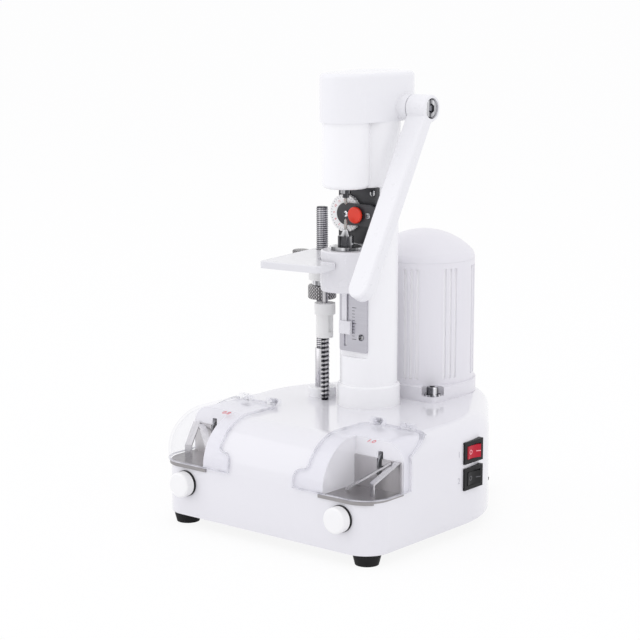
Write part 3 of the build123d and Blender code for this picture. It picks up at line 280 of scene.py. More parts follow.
def brushed(name, color, dark, rough, grain):
    """Ground metal whose fine lines run along the axis with the smallest grain."""
    f = Finish(name)
    lines = f.noise(1.0, 4.0, f.stretched(*grain))
    cloud = f.noise(30.0, 3.0)
    tone = f.between((lines * 0.6 + cloud * 0.4).held(), color, dark)
    normal = f.bump(lines, 0.25, 0.00006)
    return f.done(f.surface(tone, rough + 0.2 * lines, normal, Metallic=1.0))


def streaked(name, bright, dark, rough, fine, share):
    """Turned or plated metal: light and dark streaks along its axis, painted reflections of the kind polished
    steel shows.
    """
    f = Finish(name)
    # painted reflection: bright and dark bands in the metal's colour
    reflection_bands = f.noise(1.0, 2.0, f.stretched(fine, fine, 14.0))
    sharp = ((reflection_bands - share) * 5.0 + 0.5).held()
    smear = f.noise(140.0, 4.0)
    tone = f.between((sharp * 0.88 + smear * 0.12).held(), dark, bright)
    turning = f.noise(1.0, 3.0, f.stretched(60.0, 60.0, 2400.0))
    normal = f.bump(turning, 0.12, 0.00004)
    return f.done(f.surface(tone, rough + 0.1 * smear, normal, Metallic=1.0))


def knurled(name, bright, dark, rough, centre, radius, crossings):
    """Diamond knurling round an upright axis, drawn in the colour as painted shade in its grooves and painted
    highlight on its crests.
    """
    f = Finish(name)
    x, y = f.axis("X") - centre[0] * MM, f.axis("Y") - centre[1] * MM
    angle = f.node("ShaderNodeMath", {"operation": "ARCTAN2"}, [y, x])
    climb = f.axis("Z") * (crossings / (radius * MM))
    one = (angle * float(crossings) + climb).sine()
    other = (angle * float(crossings) - climb).sine()
    # painted shade and highlight: the knurl pattern darkens the colour in its grooves
    diamond = ((one * 0.5 + 0.5) * (other * 0.5 + 0.5)).held()
    dust = f.noise(160.0, 4.0)
    tone = f.between((diamond * 1.3 + 0.15 * dust).held(), dark, bright)
    normal = f.bump(diamond, 0.8, 0.0003)
    return f.done(f.surface(tone, rough + 0.1 * dust, normal, Metallic=1.0))


def threaded_steel(name, bright, dark, centre, crest, depth, streaks):
    """Steel whose thread valleys are darkened with painted shade, read from the distance to the rod's axis,
    and streaked with painted reflections.
    """
    f = Finish(name)
    from_axis = reach(f.axis("X") - centre[0] * MM, f.axis("Y") - centre[1] * MM)
    # painted shade: the thread valleys are darkened in the colour
    painted_valley_tone = ((crest * MM - from_axis) / (depth * MM)).held()
    # painted reflection: light and dark streaks along the rod
    reflection_streak = f.noise(1.0, 2.0, f.stretched(420.0, 420.0, 20.0))
    shade = (painted_valley_tone * 1.1 + (reflection_streak - 0.5) * streaks).held()
    tone = f.between(shade, bright, dark)
    normal = f.bump(f.noise(1500.0), 0.1, 0.00004)
    return f.done(f.surface(tone, 0.18 + 0.15 * reflection_streak, normal, Metallic=1.0))


def plated(name, color, rough):
    f = Finish(name)
    smear = f.noise(120.0, 4.0)
    tone = f.between(smear, color, tuple(c * 0.86 for c in color))
    normal = f.bump(f.noise(500.0), 0.06, 0.00004)
    return f.done(f.surface(tone, rough + 0.08 * smear, normal, Metallic=1.0))


def grained_black(name, base, lighter, rough, grain, depth, shine=0.25):
    f = Finish(name)
    pebbles = f.cells(grain)
    dust = f.noise(70.0, 5.0)
    color = f.between((dust * 1.4 - 0.3).held(), base, lighter)
    normal = f.bump(pebbles, 0.4, depth)
    return f.done(f.surface(color, rough + 0.15 * dust, normal, Specular_IOR_Level=shine))


def rocker_finish(name, base, lighter, ink, centre_z, rough):
    """Rocker plastic with a ring and a bar printed on its outer face."""
    f = Finish(name)
    across = f.axis("Y") - SWITCH_Y * MM
    up = f.axis("Z") - centre_z * MM
    line = MARK_LINE_HALF * MM
    ring = abs(reach(across - MARK_RING_Y * MM, up) - MARK_RING_RADIUS * MM).below(line)
    bar = abs(across - MARK_BAR_Y * MM).below(MARK_BAR_HALF * MM) * abs(up).below(line)
    outside = f.axis("X").above((WALL_X - MARK_DEPTH) * MM)
    mark = ((ring + bar) * outside).held()
    cloud = f.noise(90.0, 4.0)
    color = f.between(mark, f.between(cloud, base, lighter), ink)
    normal = f.bump(f.noise(900.0), 0.2, 0.00004)
    return f.done(f.surface(color, rough + 0.1 * cloud, normal, Specular_IOR_Level=0.3))


def red_plastic():
    f = Finish("red plastic")
    cloud = f.noise(150.0, 4.0)
    color = f.between(cloud, (0.84, 0.040, 0.012), (0.70, 0.028, 0.010))
    normal = f.bump(f.noise(700.0), 0.15, 0.00004)
    return f.done(f.surface(color, 0.26 + 0.12 * cloud, normal, Coat_Weight=0.1))


def guard_edges(f):
    """One along the guard's cut edges: its inner side, its ear, its bottom, its rear and its side opening."""
    x, y, z = mirrored_place(f)
    ear_root_z = EAR_TOP + EAR_BLEND
    inner = x.below(GUARD_INNER + EDGE_LINE) * z.above(ear_root_z) * y.below(HINGE_Y - GUARD_CORNER)
    rear = abs(y - (HINGE_Y - EDGE_LINE / 2)).below(EDGE_LINE / 2 + EDGE_SLACK)
    rear = rear * x.above(GUARD_INNER + GUARD_CORNER)
    past = (x - (GUARD_INNER + GUARD_CORNER), y - (HINGE_Y - GUARD_CORNER))
    corner = reach(*past).above(GUARD_CORNER - EDGE_LINE) * past[0].below(0.0) * past[1].above(0.0)
    ear_side = x.below(EAR_X + EDGE_LINE)
    ear_top = z.above(EAR_TOP - EDGE_LINE) * x.below(GUARD_INNER - EAR_BLEND)
    tip = (x - (EAR_X + EAR_ROUND), z - (EAR_TOP - EAR_ROUND))
    ear_tip = reach(*tip).above(EAR_ROUND - EDGE_LINE) * tip[0].below(0.0) * tip[1].above(0.0)
    root = (x - (GUARD_INNER - EAR_BLEND), z - ear_root_z)
    ear_root = reach(*root).below(EAR_BLEND + EDGE_LINE) * x.below(GUARD_INNER + EDGE_LINE)
    ear_root = ear_root * z.below(ear_root_z)
    bottom = z.below(GUARD_BOTTOM + EDGE_LINE)
    side = x.above(WALL_X - GUARD_SKIN) * y.above(SIDE_Y - EDGE_LINE) * z.below(SIDE_Z)
    slope = (SLANT_END_Z - SIDE_Z) / (SLANT_END_Y - SIDE_Y)
    over = z - SIDE_Z - slope * (y - SIDE_Y)
    slant = over.below(EDGE_LINE) * y.above(SIDE_Y) * x.above(WALL_X - SLANT_REACH)
    lines = inner + rear + corner + ear_side + ear_top + ear_tip + ear_root + bottom + side + slant
    return lines.held()


def clear_plastic(name, edged):
    """Thin clear plastic, whiter at a glancing view. An edged one shows its cut edges as well, as grey lines
    with painted glints along them.
    """
    f = Finish(name)
    smear = f.noise(60.0, 4.0)
    edge = guard_edges(f) if edged else smear * 0.02
    # painted glints: lighter and darker patches along the cut edges
    painted_glint = f.noise(90.0, 2.0)
    edge_glint_tone = f.between(((painted_glint - 0.45) * 4.0).held(), (0.80, 0.80, 0.84), (0.52, 0.52, 0.57))
    color = f.between(edge, f.between(smear, (0.90, 0.90, 0.93), (0.95, 0.95, 0.97)), edge_glint_tone)
    normal = f.bump(f.noise(25.0), 0.05, 0.0002)
    shell = f.surface(color, 0.05 + 0.06 * smear, normal, IOR=1.45)
    through = f.node("ShaderNodeBsdfTransparent", {}, {"Color": (0.99, 0.99, 0.995, 1.0)})
    rim = f.node("ShaderNodeLayerWeight", {}, {"Blend": 0.2}, "Facing")
    cover = (0.01 + 0.02 * smear + 0.4 * rim * rim + 0.55 * edge).held()
    return f.done(f.node("ShaderNodeMixShader", {}, [cover, through, shell]))


def printed(name, color):
    f = Finish(name)
    wear = f.noise(900.0, 3.0)
    tone = f.between(wear, color, tuple(min(1.0, c * 1.35 + 0.03) for c in color))
    return f.done(f.surface(tone, 0.45 + 0.15 * wear))


def laminated_iron():
    f = Finish("stacked iron")
    layers = (f.axis("Z") * 9000.0).sine() * 0.5 + 0.5
    color = f.between(layers, (0.30, 0.29, 0.28), (0.16, 0.155, 0.15))
    return f.done(f.surface(color, 0.5 + 0.1 * layers, f.bump(layers, 0.3, 0.0001), Metallic=1.0))


# the pocket colour is painted light on the walls of the front pockets
GLOSS_WHITE = moulded_white(
    "glossy white housing", (0.825, 0.82, 0.852), (0.805, 0.80, 0.832), pocket=(0.93, 0.925, 0.945),
    rough=0.10, peel=900.0
)
# a paler copy of the head paint: painted light on the column, collar and head
LIT_HEAD_WHITE = sprayed_white(
    "head paint with painted light", (0.94, 0.94, 0.95), (0.92, 0.92, 0.93), rough=0.20, peel=750.0, depth=0.00012
)
# a darker copy of the head paint: painted shade on the lower spindle block
SHADED_BLOCK_WHITE = sprayed_white(
    "spindle block paint with painted shade", (0.80, 0.795, 0.82), (0.78, 0.775, 0.80), rough=0.22, peel=750.0, depth=0.00012
)
KNOB_WHITE = satin_plastic("white knob plastic", (0.93, 0.93, 0.925), (0.90, 0.90, 0.895), rough=0.30)
HEAD_WHITE = sprayed_white(
    "white head paint", (0.88, 0.88, 0.90), (0.86, 0.86, 0.88), rough=0.20, peel=750.0, depth=0.00012
)
MOTOR_WHITE = sprayed_white(
    "white motor paint", (0.82, 0.81, 0.845), (0.80, 0.79, 0.825), rough=0.32, peel=480.0, depth=0.0002
)
# the valley colour paints light into the fin grooves
FIN_WHITE = finned_white(
    "finned motor paint", (0.82, 0.81, 0.845), (0.80, 0.79, 0.825), painted_valley_tone=(0.97, 0.965, 0.98), rough=0.32
)
LEVER_WHITE = sprayed_white(
    "white lever paint", (0.87, 0.87, 0.89), (0.85, 0.85, 0.87), rough=0.24, peel=620.0, depth=0.00014
)
WHITE_PLASTIC = satin_plastic("white plastic", (0.82, 0.82, 0.81), (0.77, 0.77, 0.76), rough=0.34)
MILKY = milky_plastic()
POCKET_STEEL = brushed(
    "brushed pocket steel", (0.46, 0.44, 0.45), (0.24, 0.23, 0.235), rough=0.26, grain=(30.0, 1600.0, 1600.0)
)
# a paler copy of the pocket steel: painted reflection on the back plates
LIT_BACK_STEEL = brushed(
    "brushed back plate with painted reflection", (0.70, 0.68, 0.69), (0.44, 0.425, 0.435), rough=0.26, grain=(1600.0, 1600.0, 30.0)
)
SCALE_STEEL = brushed(
    "brushed scale steel", (0.60, 0.59, 0.64), (0.44, 0.435, 0.48), rough=0.24, grain=(40.0, 900.0, 1900.0)
)
GUIDE_STEEL = brushed(
    "polished guide steel", (0.74, 0.73, 0.75), (0.42, 0.41, 0.43), rough=0.14, grain=(900.0, 60.0, 60.0)
)
# the streaked metals below carry painted reflections in their colour
ROD_STEEL = streaked(
    "turned steel", (0.62, 0.61, 0.63), (0.10, 0.095, 0.11), rough=0.16, fine=420.0, share=0.5
)
# the dark colour is painted shade in the thread valleys
FRONT_THREAD = threaded_steel(
    "front thread steel", (0.74, 0.73, 0.75), (0.02, 0.02, 0.025), FRONT_ROD, FRONT_CREST,
    depth=0.6, streaks=2.4
)
REAR_THREAD = threaded_steel(
    "rear thread steel", (0.66, 0.65, 0.68), (0.06, 0.06, 0.07), REAR_ROD, REAR_CREST,
    depth=0.45, streaks=2.0
)
NUT_STEEL = knurled(
    "knurled nut steel", (0.60, 0.59, 0.60), (0.12, 0.115, 0.12), rough=0.22,
    centre=REAR_ROD, radius=10.0, crossings=26
)
KNOB_STEEL = knurled(
    "knurled knob steel", (0.42, 0.41, 0.42), (0.08, 0.078, 0.08), rough=0.26,
    centre=LOCK_KNOB, radius=6.0, crossings=20
)
DARK_STEEL = brushed(
    "ground dark steel", (0.26, 0.26, 0.28), (0.14, 0.14, 0.15), rough=0.28, grain=(1500.0, 200.0, 200.0)
)
BIT_STEEL = brushed(
    "tool steel", (0.50, 0.48, 0.46), (0.30, 0.29, 0.28), rough=0.2, grain=(300.0, 300.0, 2500.0)
)
ALUMINIUM = brushed(
    "plain aluminium", (0.62, 0.62, 0.63), (0.5, 0.5, 0.51), rough=0.3, grain=(300.0, 300.0, 1200.0)
)
BRASS = plated("bearing brass", (0.70, 0.54, 0.28), rough=0.24)
CHROME = streaked(
    "bright plate", (0.84, 0.84, 0.87), (0.05, 0.05, 0.06), rough=0.07, fine=330.0, share=0.52
)
DISC_CHROME = streaked(
    "plate with wide painted reflections", (0.86, 0.86, 0.89), (0.03, 0.03, 0.035), rough=0.06, fine=170.0, share=0.5
)
CHUCK_STEEL = streaked(
    "dark chuck steel", (0.60, 0.60, 0.63), (0.03, 0.03, 0.035), rough=0.12, fine=380.0, share=0.56
)
RUBBER = grained_black(
    "foot rubber", (0.006, 0.006, 0.007), (0.018, 0.018, 0.019), rough=0.62, grain=1400.0, depth=0.0001
)
BELT = grained_black(
    "belt rubber", (0.03, 0.03, 0.03), (0.07, 0.07, 0.07), rough=0.7, grain=2200.0, depth=0.0001
)
BLACK_PLASTIC = grained_black(
    "black plastic", (0.005, 0.005, 0.006), (0.014, 0.014, 0.016), rough=0.38, grain=1800.0, depth=0.00004
)
BLACK_METAL = grained_black(
    "black painted steel", (0.024, 0.024, 0.028), (0.055, 0.055, 0.062), rough=0.30, grain=1200.0,
    depth=0.00005, shine=0.5
)
RED_BUTTON = red_plastic()
RED_ROCKER = rocker_finish(
    "red rocker", (0.46, 0.004, 0.022), (0.54, 0.012, 0.035), ink=(0.92, 0.42, 0.46),
    centre_z=RED_SWITCH_Z, rough=0.24
)
BLACK_ROCKER = rocker_finish(
    "black rocker", (0.006, 0.006, 0.007), (0.016, 0.016, 0.018), ink=(0.12, 0.12, 0.13),
    centre_z=BLACK_SWITCH_Z, rough=0.34
)
CLEAR = clear_plastic("clear guard plastic", edged=True)
CLEAR_HINGE = clear_plastic("clear hinge plastic", edged=False)
IRON = laminated_iron()
RED_PRINT = printed("red print", (0.55, 0.03, 0.05))
BLACK_PRINT = printed("black print", (0.03, 0.03, 0.035))
GREY_PRINT = printed("grey print", (0.42, 0.42, 0.45))

FINISHES = {
    GLOSS_WHITE: ["base_housing"],
    LIT_HEAD_WHITE: ["column_tube", "column_collar", "head_housing"],
    HEAD_WHITE: ["head_cap", "lever_bearings"],
    SHADED_BLOCK_WHITE: ["lower_block"],
    LEVER_WHITE: ["lever_arm"],
    FIN_WHITE: ["motor_housing"],
    MOTOR_WHITE: ["motor_dome", "motor_flange"],
    # the dial takes the paler knob plastic: painted light that lifts it out of its shade
    KNOB_WHITE: ["knob_right", "knob_left", "serrated_dial"],
    WHITE_PLASTIC: ["lift_sleeve", "table_hub"],
    MILKY: ["table_plate"],
    POCKET_STEEL: ["pocket_floors"],
    LIT_BACK_STEEL: ["pocket_backs"],
    GUIDE_STEEL: ["lens_guides"],
    SCALE_STEEL: ["scale_plate"],
    ROD_STEEL: [
        "rear_rod", "front_rod", "lift_stem", "machine_screws", "lower_spindle",
        "column_shaft", "cutter_shaft", "lever_shaft",
    ],
    DARK_STEEL: ["cutter_wheels"],
    CHUCK_STEEL: ["upper_spindle"],
    DISC_CHROME: ["lower_chuck"],
    BIT_STEEL: ["upper_bit", "lower_bit"],
    ALUMINIUM: ["head_deck", "upper_pulley", "cut_motor"],
    BRASS: ["shaft_bearings"],
    CHROME: ["lever_screw", "quill", "table_neck", "motor_screws"],
    NUT_STEEL: ["table_nut"],
    KNOB_STEEL: ["lock_knob"],
    RUBBER: ["rubber_feet"],
    BELT: ["drive_belts"],
    BLACK_PLASTIC: ["base_plate", "switch_bezels", "power_inlet", "knob_rings"],
    BLACK_METAL: ["dial_bracket", "button_plate"],
    RED_BUTTON: ["red_button"],
    RED_ROCKER: ["rocker_red"],
    BLACK_ROCKER: ["rocker_black"],
    CLEAR: ["guard_right", "guard_left"],
    CLEAR_HINGE: ["guard_hinges"],
    IRON: ["motor_stator", "motor_rotor"],
}
for finish, names in FINISHES.items():
    for node_name in names:
        mesh = nodes[node_name].data
        mesh.materials.clear()
        mesh.materials.append(finish)


# Making objects and pieces


def linked(name, data):
    made = bpy.data.objects.new(name, data)
    bpy.context.collection.objects.link(made)
    return made


def final_mesh(made, *helpers):
    """The object's mesh after its modifiers. The object and its helpers are removed."""
    graph = bpy.context.evaluated_depsgraph_get()
    mesh = bpy.data.meshes.new_from_object(made.evaluated_get(graph))
    for each in (made, *helpers):
        bpy.data.objects.remove(each)
    return mesh


def piece(name, mesh, material, body, replaced=()):
    mesh.materials.clear()
    mesh.materials.append(material)
    made = linked(name, mesh)
    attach(made, body)
    if replaced:
        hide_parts(*replaced)


def mesh_of(name, points, faces, smooth=True):
    mesh = bpy.data.meshes.new(name)
    mesh.from_pydata(points, [], faces)
    mesh.validate()
    for polygon in mesh.polygons:
        polygon.use_smooth = smooth
    mesh.update()
    return mesh


def formed(name, form, material, body, replaced, smooth=True):
    """A piece made straight from points and faces."""
    piece(name, mesh_of(name, *form, smooth), material, body, replaced)


def angles_round(sides):
    return [2 * math.pi * side / sides for side in range(sides)]


def band(low, high, sides):
    """Faces between two rings whose points start at low and at high."""
    faces = []
    for side in range(sides):
        following = (side + 1) % sides
        faces.append((low + side, low + following, high + following, high + side))
    return faces


def turned_form(radius_at, levels, sides, centre):
    """Rings whose radius may change with height and angle, closed by a cap at each end."""
    points, faces = [], []
    for z in levels:
        for angle in angles_round(sides):
            r = radius_at(angle, z)
            x, y = centre[0] + r * math.cos(angle), centre[1] + r * math.sin(angle)
            points.append((x * MM, y * MM, z * MM))
    top = (len(levels) - 1) * sides
    for low in range(0, top, sides):
        faces += band(low, low + sides, sides)
    faces.append(tuple(reversed(range(sides))))
    faces.append(tuple(range(top, top + sides)))
    return points, faces


def steps(bottom, top, step):
    count = max(1, int(round((top - bottom) / step)))
    return [bottom + (top - bottom) * index / count for index in range(count + 1)]


def joined(parts):
    points, faces = [], []
    for more_points, more_faces in parts:
        start = len(points)
        points += more_points
        faces += [tuple(start + index for index in face) for face in more_faces]
    return points, faces


# Turned, threaded and fluted forms

ROD_SIDES = 40
THREAD_SIDES, RINGS_PER_TURN, TOOTH_POWER = 28, 8, 0.8
BIT_SIDES, BIT_STEP = 24, 0.25
BIT_RADIUS, BIT_PITCH, BIT_POINT, BIT_TIP = 1.1, 7.0, 1.1, 0.05
FLUTE_DEPTH, FLUTE_END, FLUTE_FADE = 0.294, 9.0, 1.5


def threaded(centre, bottom, top, radius, depth, pitch):
    """A thread whose crests sink to its root over one turn at each end."""

    def radius_at(angle, z):
        turn = (z / pitch - angle / (2 * math.pi)) % 1.0
        tooth = 1 - abs(2 * turn - 1)
        fade = min(1.0, (z - bottom) / pitch, (top - z) / pitch)
        return radius - depth * (1 - tooth ** TOOTH_POWER * max(0.0, fade))

    return turned_form(radius_at, steps(bottom, top, pitch / RINGS_PER_TURN), THREAD_SIDES, centre)


def plain_rod(centre, bottom, top, radius, edge):
    levels = [bottom, bottom + edge, top - edge, top]

    def radius_at(angle, z):
        return radius - (edge if z in (bottom, top) else 0)

    return turned_form(radius_at, levels, ROD_SIDES, centre)


def twist_bit(tip, end):
    """A bit on the spindles' axis with two flutes, which fade out behind its point."""

    def radius_at(angle, z):
        from_tip = abs(z - tip)
        point = min(1.0, from_tip / BIT_POINT)
        groove = max(0.0, math.cos(2 * (angle - 2 * math.pi * z / BIT_PITCH))) ** 2
        fade = max(0.0, min(1.0, (FLUTE_END - from_tip) / FLUTE_FADE))
        return max(BIT_TIP, BIT_RADIUS * point * (1 - FLUTE_DEPTH * groove * fade))

    levels = steps(min(tip, end), max(tip, end), BIT_STEP)
    return turned_form(radius_at, levels, BIT_SIDES, (0, SPINDLE_Y))


# Rods with true threads

front_thread = threaded(FRONT_ROD, bottom=76.6, top=129.5, radius=FRONT_CREST, depth=0.75, pitch=3.1)
formed("front_rod_thread", front_thread, FRONT_THREAD, "machine", ["front_rod"])
rear_parts = joined([
    plain_rod(REAR_ROD, bottom=83.3, top=111.0, radius=5.0, edge=0.3),
    threaded(REAR_ROD, bottom=110.9, top=211.5, radius=REAR_CREST, depth=0.5, pitch=1.5),
])
formed("rear_rod_thread", rear_parts, REAR_THREAD, "machine", ["rear_rod"])

# The motor's dome: a straight skirt, a round shoulder and a gently crowned top

DOME_HEIGHT, DOME_SHOULDER, DOME_CROWN, DOME_WALL = 20.2, 8.0, 48.0, 3.5
DOME_SIDES, SHOULDER_STEPS, CROWN_STEPS = 96, 10, 31


def crowned_rings(radius, height, shoulder, crown):
    """Radius and height of each ring up a straight side, a shoulder arc and a crown arc, all tangent."""
    inset = radius - shoulder
    crown_z = height - crown
    shoulder_z = crown_z + math.sqrt((crown - shoulder) ** 2 - inset ** 2)
    lean = math.atan2(shoulder_z - crown_z, inset)
    rings = [(radius, 0.0), (radius, shoulder_z)]
    for step in range(1, SHOULDER_STEPS + 1):
        turn = lean * step / SHOULDER_STEPS
        rings.append((inset + shoulder * math.cos(turn), shoulder_z + shoulder * math.sin(turn)))
    for step in range(1, CROWN_STEPS):
        turn = lean + (math.pi / 2 - lean) * step / CROWN_STEPS
        rings.append((crown * math.cos(turn), crown_z + crown * math.sin(turn)))
    return rings


def dome_form():
    """An outer and an inner skin, each closed by a fan at its peak, with a flat rim between their feet."""
    points, faces = [], []
    for foot, wall, outward in ((MOTOR_RADIUS, 0.0, True), (MOTOR_BORE, DOME_WALL, False)):
        start = len(points)
        height = DOME_HEIGHT - wall
        for radius, z in crowned_rings(foot, height, DOME_SHOULDER - wall, DOME_CROWN - wall):
            for angle in angles_round(DOME_SIDES):
                x, y = radius * math.cos(angle), MOTOR_Y + radius * math.sin(angle)
                points.append((x * MM, y * MM, (MOTOR_TOP + z) * MM))
        last, peak = len(points) - DOME_SIDES, len(points)
        points.append((0.0, MOTOR_Y * MM, (MOTOR_TOP + height) * MM))
        skin = []
        for low in range(start, last, DOME_SIDES):
            skin += band(low, low + DOME_SIDES, DOME_SIDES)
        skin += [(last + side, last + (side + 1) % DOME_SIDES, peak) for side in range(DOME_SIDES)]
        faces += skin if outward else [tuple(reversed(face)) for face in skin]
    inner_start = start
    for side in range(DOME_SIDES):
        following = (side + 1) % DOME_SIDES
        faces.append((side, inner_start + side, inner_start + following, following))
    return points, faces


formed("motor_dome_shell", dome_form(), MOTOR_WHITE, "machine", ["motor_dome"])

# Drill bits with flutes

formed("upper_twist_bit", twist_bit(tip=218.3, end=234.8), BIT_STEEL, "upper_spindle",
       ["upper_bit"])
formed("lower_twist_bit", twist_bit(tip=209.0, end=183.9), BIT_STEEL, "lower_spindle",
       ["lower_bit"])

# Dark rings behind the front knobs

RING_OUTER, RING_INNER, RING_FRONT, RING_BEVEL = 8.9, 3.1, 1.5, 0.2
RING_SIDES = 64


def ring_form(centre_x):
    """A flat ring round the knob's stem, in front of the housing."""
    rim = [
        (RING_OUTER, 0.0),
        (RING_OUTER, RING_FRONT - RING_BEVEL),
        (RING_OUTER - RING_BEVEL, RING_FRONT),
        (RING_INNER, RING_FRONT),
        (RING_INNER, 0.0),
    ]
    points, faces = [], []
    for radius, ahead in rim:
        for angle in angles_round(RING_SIDES):
            x, z = centre_x + radius * math.cos(angle), KNOB_Z + radius * math.sin(angle)
            points.append((x * MM, (FRONT_Y - ahead) * MM, z * MM))
    for ring in range(len(rim)):
        following = (ring + 1) % len(rim)
        faces += band(ring * RING_SIDES, following * RING_SIDES, RING_SIDES)
    return points, faces


knob_rings = joined([ring_form(KNOB_X), ring_form(-KNOB_X)])
formed("knob_ring_bands", knob_rings, BLACK_PLASTIC, "machine", ["knob_rings"], smooth=False)

# Screws with a cross recess, one form placed at many spots

SCREW_SIDES = 32
HEAD_PROFILE = ((1.0, 0.0), (1.0, 0.45), (0.86, 0.85), (0.5, 1.0))
RECESS_LONG, RECESS_NARROW, RECESS_DEEP = 0.58, 0.13, 0.75


def cross_screw(radius, height, shank_radius, shank_length):
    """A pan head that faces +Z, its seat at the origin. Its profile and recess are shares of its size."""
    bm = bmesh.new()
    rings = [(shank_radius, -shank_length), (shank_radius, 0.0)]
    rings += [(radius * wide, height * high) for wide, high in HEAD_PROFILE]
    previous = None
    for r, z in rings:
        ring = []
        for angle in angles_round(SCREW_SIDES):
            ring.append(bm.verts.new((r * math.cos(angle) * MM, r * math.sin(angle) * MM, z * MM)))
        if previous:
            for side in range(SCREW_SIDES):
                following = (side + 1) % SCREW_SIDES
                bm.faces.new((previous[side], previous[following], ring[following], ring[side]))
        else:
            bm.faces.new(list(reversed(ring)))
        previous = ring
    bm.faces.new(previous)
    mesh = bpy.data.meshes.new("cross_screw")
    bm.to_mesh(mesh)
    bm.free()
    made = linked("cross_screw", mesh)
    cut = bmesh.new()
    long, narrow, deep = radius * RECESS_LONG, radius * RECESS_NARROW, height * RECESS_DEEP
    for wide, slim in ((long, narrow), (narrow, long)):
        scale = Matrix.Diagonal((2 * wide * MM, 2 * slim * MM, 2 * deep * MM, 1.0))
        bmesh.ops.create_cube(cut, size=1.0, matrix=Matrix.Translation((0, 0, height * MM)) @ scale)
    cutter_mesh = bpy.data.meshes.new("cross_cutter")
    cut.to_mesh(cutter_mesh)
    cut.free()
    cutter = linked("cross_cutter", cutter_mesh)
    modifier = made.modifiers.new("recess", "BOOLEAN")
    modifier.operation = "DIFFERENCE"
    modifier.use_self = True
    modifier.object = cutter
    return final_mesh(made, cutter)


def socket_named(tree, name, kind):
    return tree.interface.new_socket(name=name, in_out="INPUT", socket_type=kind).identifier


def scatter_tree():
    """Places one form at every point of a mesh, turned by the point's own angle."""
    tree = bpy.data.node_groups.new("form at points", "GeometryNodeTree")
    socket_named(tree, "Geometry", "NodeSocketGeometry")
    form = socket_named(tree, "Form", "NodeSocketObject")
    finish = socket_named(tree, "Finish", "NodeSocketMaterial")
    tree.interface.new_socket(name="Geometry", in_out="OUTPUT", socket_type="NodeSocketGeometry")
    get = tree.nodes.new("NodeGroupInput")
    info = tree.nodes.new("GeometryNodeObjectInfo")
    angle = tree.nodes.new("GeometryNodeInputNamedAttribute")
    angle.data_type = "FLOAT_VECTOR"
    angle.inputs["Name"].default_value = "turn"
    place = tree.nodes.new("GeometryNodeInstanceOnPoints")
    real = tree.nodes.new("GeometryNodeRealizeInstances")
    paint = tree.nodes.new("GeometryNodeSetMaterial")
    give = tree.nodes.new("NodeGroupOutput")
    link = tree.links.new
    link(get.outputs["Form"], info.inputs["Object"])
    link(get.outputs["Geometry"], place.inputs["Points"])
    link(info.outputs["Geometry"], place.inputs["Instance"])
    link(angle.outputs["Attribute"], place.inputs["Rotation"])
    link(place.outputs["Instances"], real.inputs["Geometry"])
    link(real.outputs["Geometry"], paint.inputs["Geometry"])
    link(get.outputs["Finish"], paint.inputs["Material"])
    link(paint.outputs["Geometry"], give.inputs["Geometry"])
    return tree, form, finish


SCATTER, FORM_INPUT, FINISH_INPUT = scatter_tree()


def repeated(name, form_mesh, spots, material, body, replaced=()):
    """One form at each spot: a place in millimetres and a turn in degrees."""
    form = linked(name + "_form", form_mesh)
    carrier_mesh = bpy.data.meshes.new(name + "_points")
    carrier_mesh.from_pydata([tuple(v * MM for v in place) for place, turn in spots], [], [])
    turns = carrier_mesh.attributes.new("turn", "FLOAT_VECTOR", "POINT")
    for index, (place, turn) in enumerate(spots):
        turns.data[index].vector = tuple(math.radians(v) for v in turn)
    carrier = linked(name + "_carrier", carrier_mesh)
    modifier = carrier.modifiers.new("repeat", "NODES")
    modifier.node_group = SCATTER
    modifier[FORM_INPUT] = form
    modifier[FINISH_INPUT] = material
    mesh = final_mesh(carrier, form)
    mesh.name = name
    piece(name, mesh, material, body, replaced)


def bar_mesh(x, y, z):
    mesh = bpy.data.meshes.new("bar")
    bm = bmesh.new()
    bmesh.ops.create_cube(bm, size=1.0, matrix=Matrix.Diagonal((x * MM, y * MM, z * MM, 1.0)))
    bm.to_mesh(mesh)
    bm.free()
    return mesh


OVAL_SCREW = 9.35
BRACKET_SCREW_X, BRACKET_SCREW_Z = 13.3, 225.8
SCALE_SCREW_X, SCALE_SCREW_Z = 6.8, 126.3
small_screw = cross_screw(radius=2.3, height=1.2, shank_radius=1.35, shank_length=1.6)
screw_spots = [
    ((BUTTON_X - OVAL_SCREW, OVAL_FRONT, DIAL_Z), (90, 20, 0)),
    ((BUTTON_X + OVAL_SCREW, OVAL_FRONT, DIAL_Z), (90, -35, 0)),
    ((-BRACKET_SCREW_X, BRACKET_FRONT, BRACKET_SCREW_Z), (90, 10, 0)),
    ((BRACKET_SCREW_X, BRACKET_FRONT, BRACKET_SCREW_Z), (90, 40, 0)),
    ((SCALE_SCREW_X, SCALE_FRONT, SCALE_SCREW_Z), (90, 15, 0)),
]
repeated("trim_screw_heads", small_screw, screw_spots, CHROME, "machine", ["machine_screws"])

FOOT_X, FOOT_Y, FOOT_SEAT = 78.4, FRONT_Y + 13.0, 3.0
REAR_FOOT_X, REAR_FOOT_Y = 28.0, MOTOR_Y + 28.0
foot_screw = cross_screw(radius=3.8, height=2.6, shank_radius=2.0, shank_length=7.0)
foot_places = [(FOOT_X, FOOT_Y), (-FOOT_X, FOOT_Y), (REAR_FOOT_X, REAR_FOOT_Y), (-REAR_FOOT_X, REAR_FOOT_Y)]
foot_spots = [((x, y, FOOT_SEAT), (180, 0, 0)) for x, y in foot_places]
repeated("foot_screw_heads", foot_screw, foot_spots, ROD_STEEL, "machine")

# Marks on the scale plate and round the dial

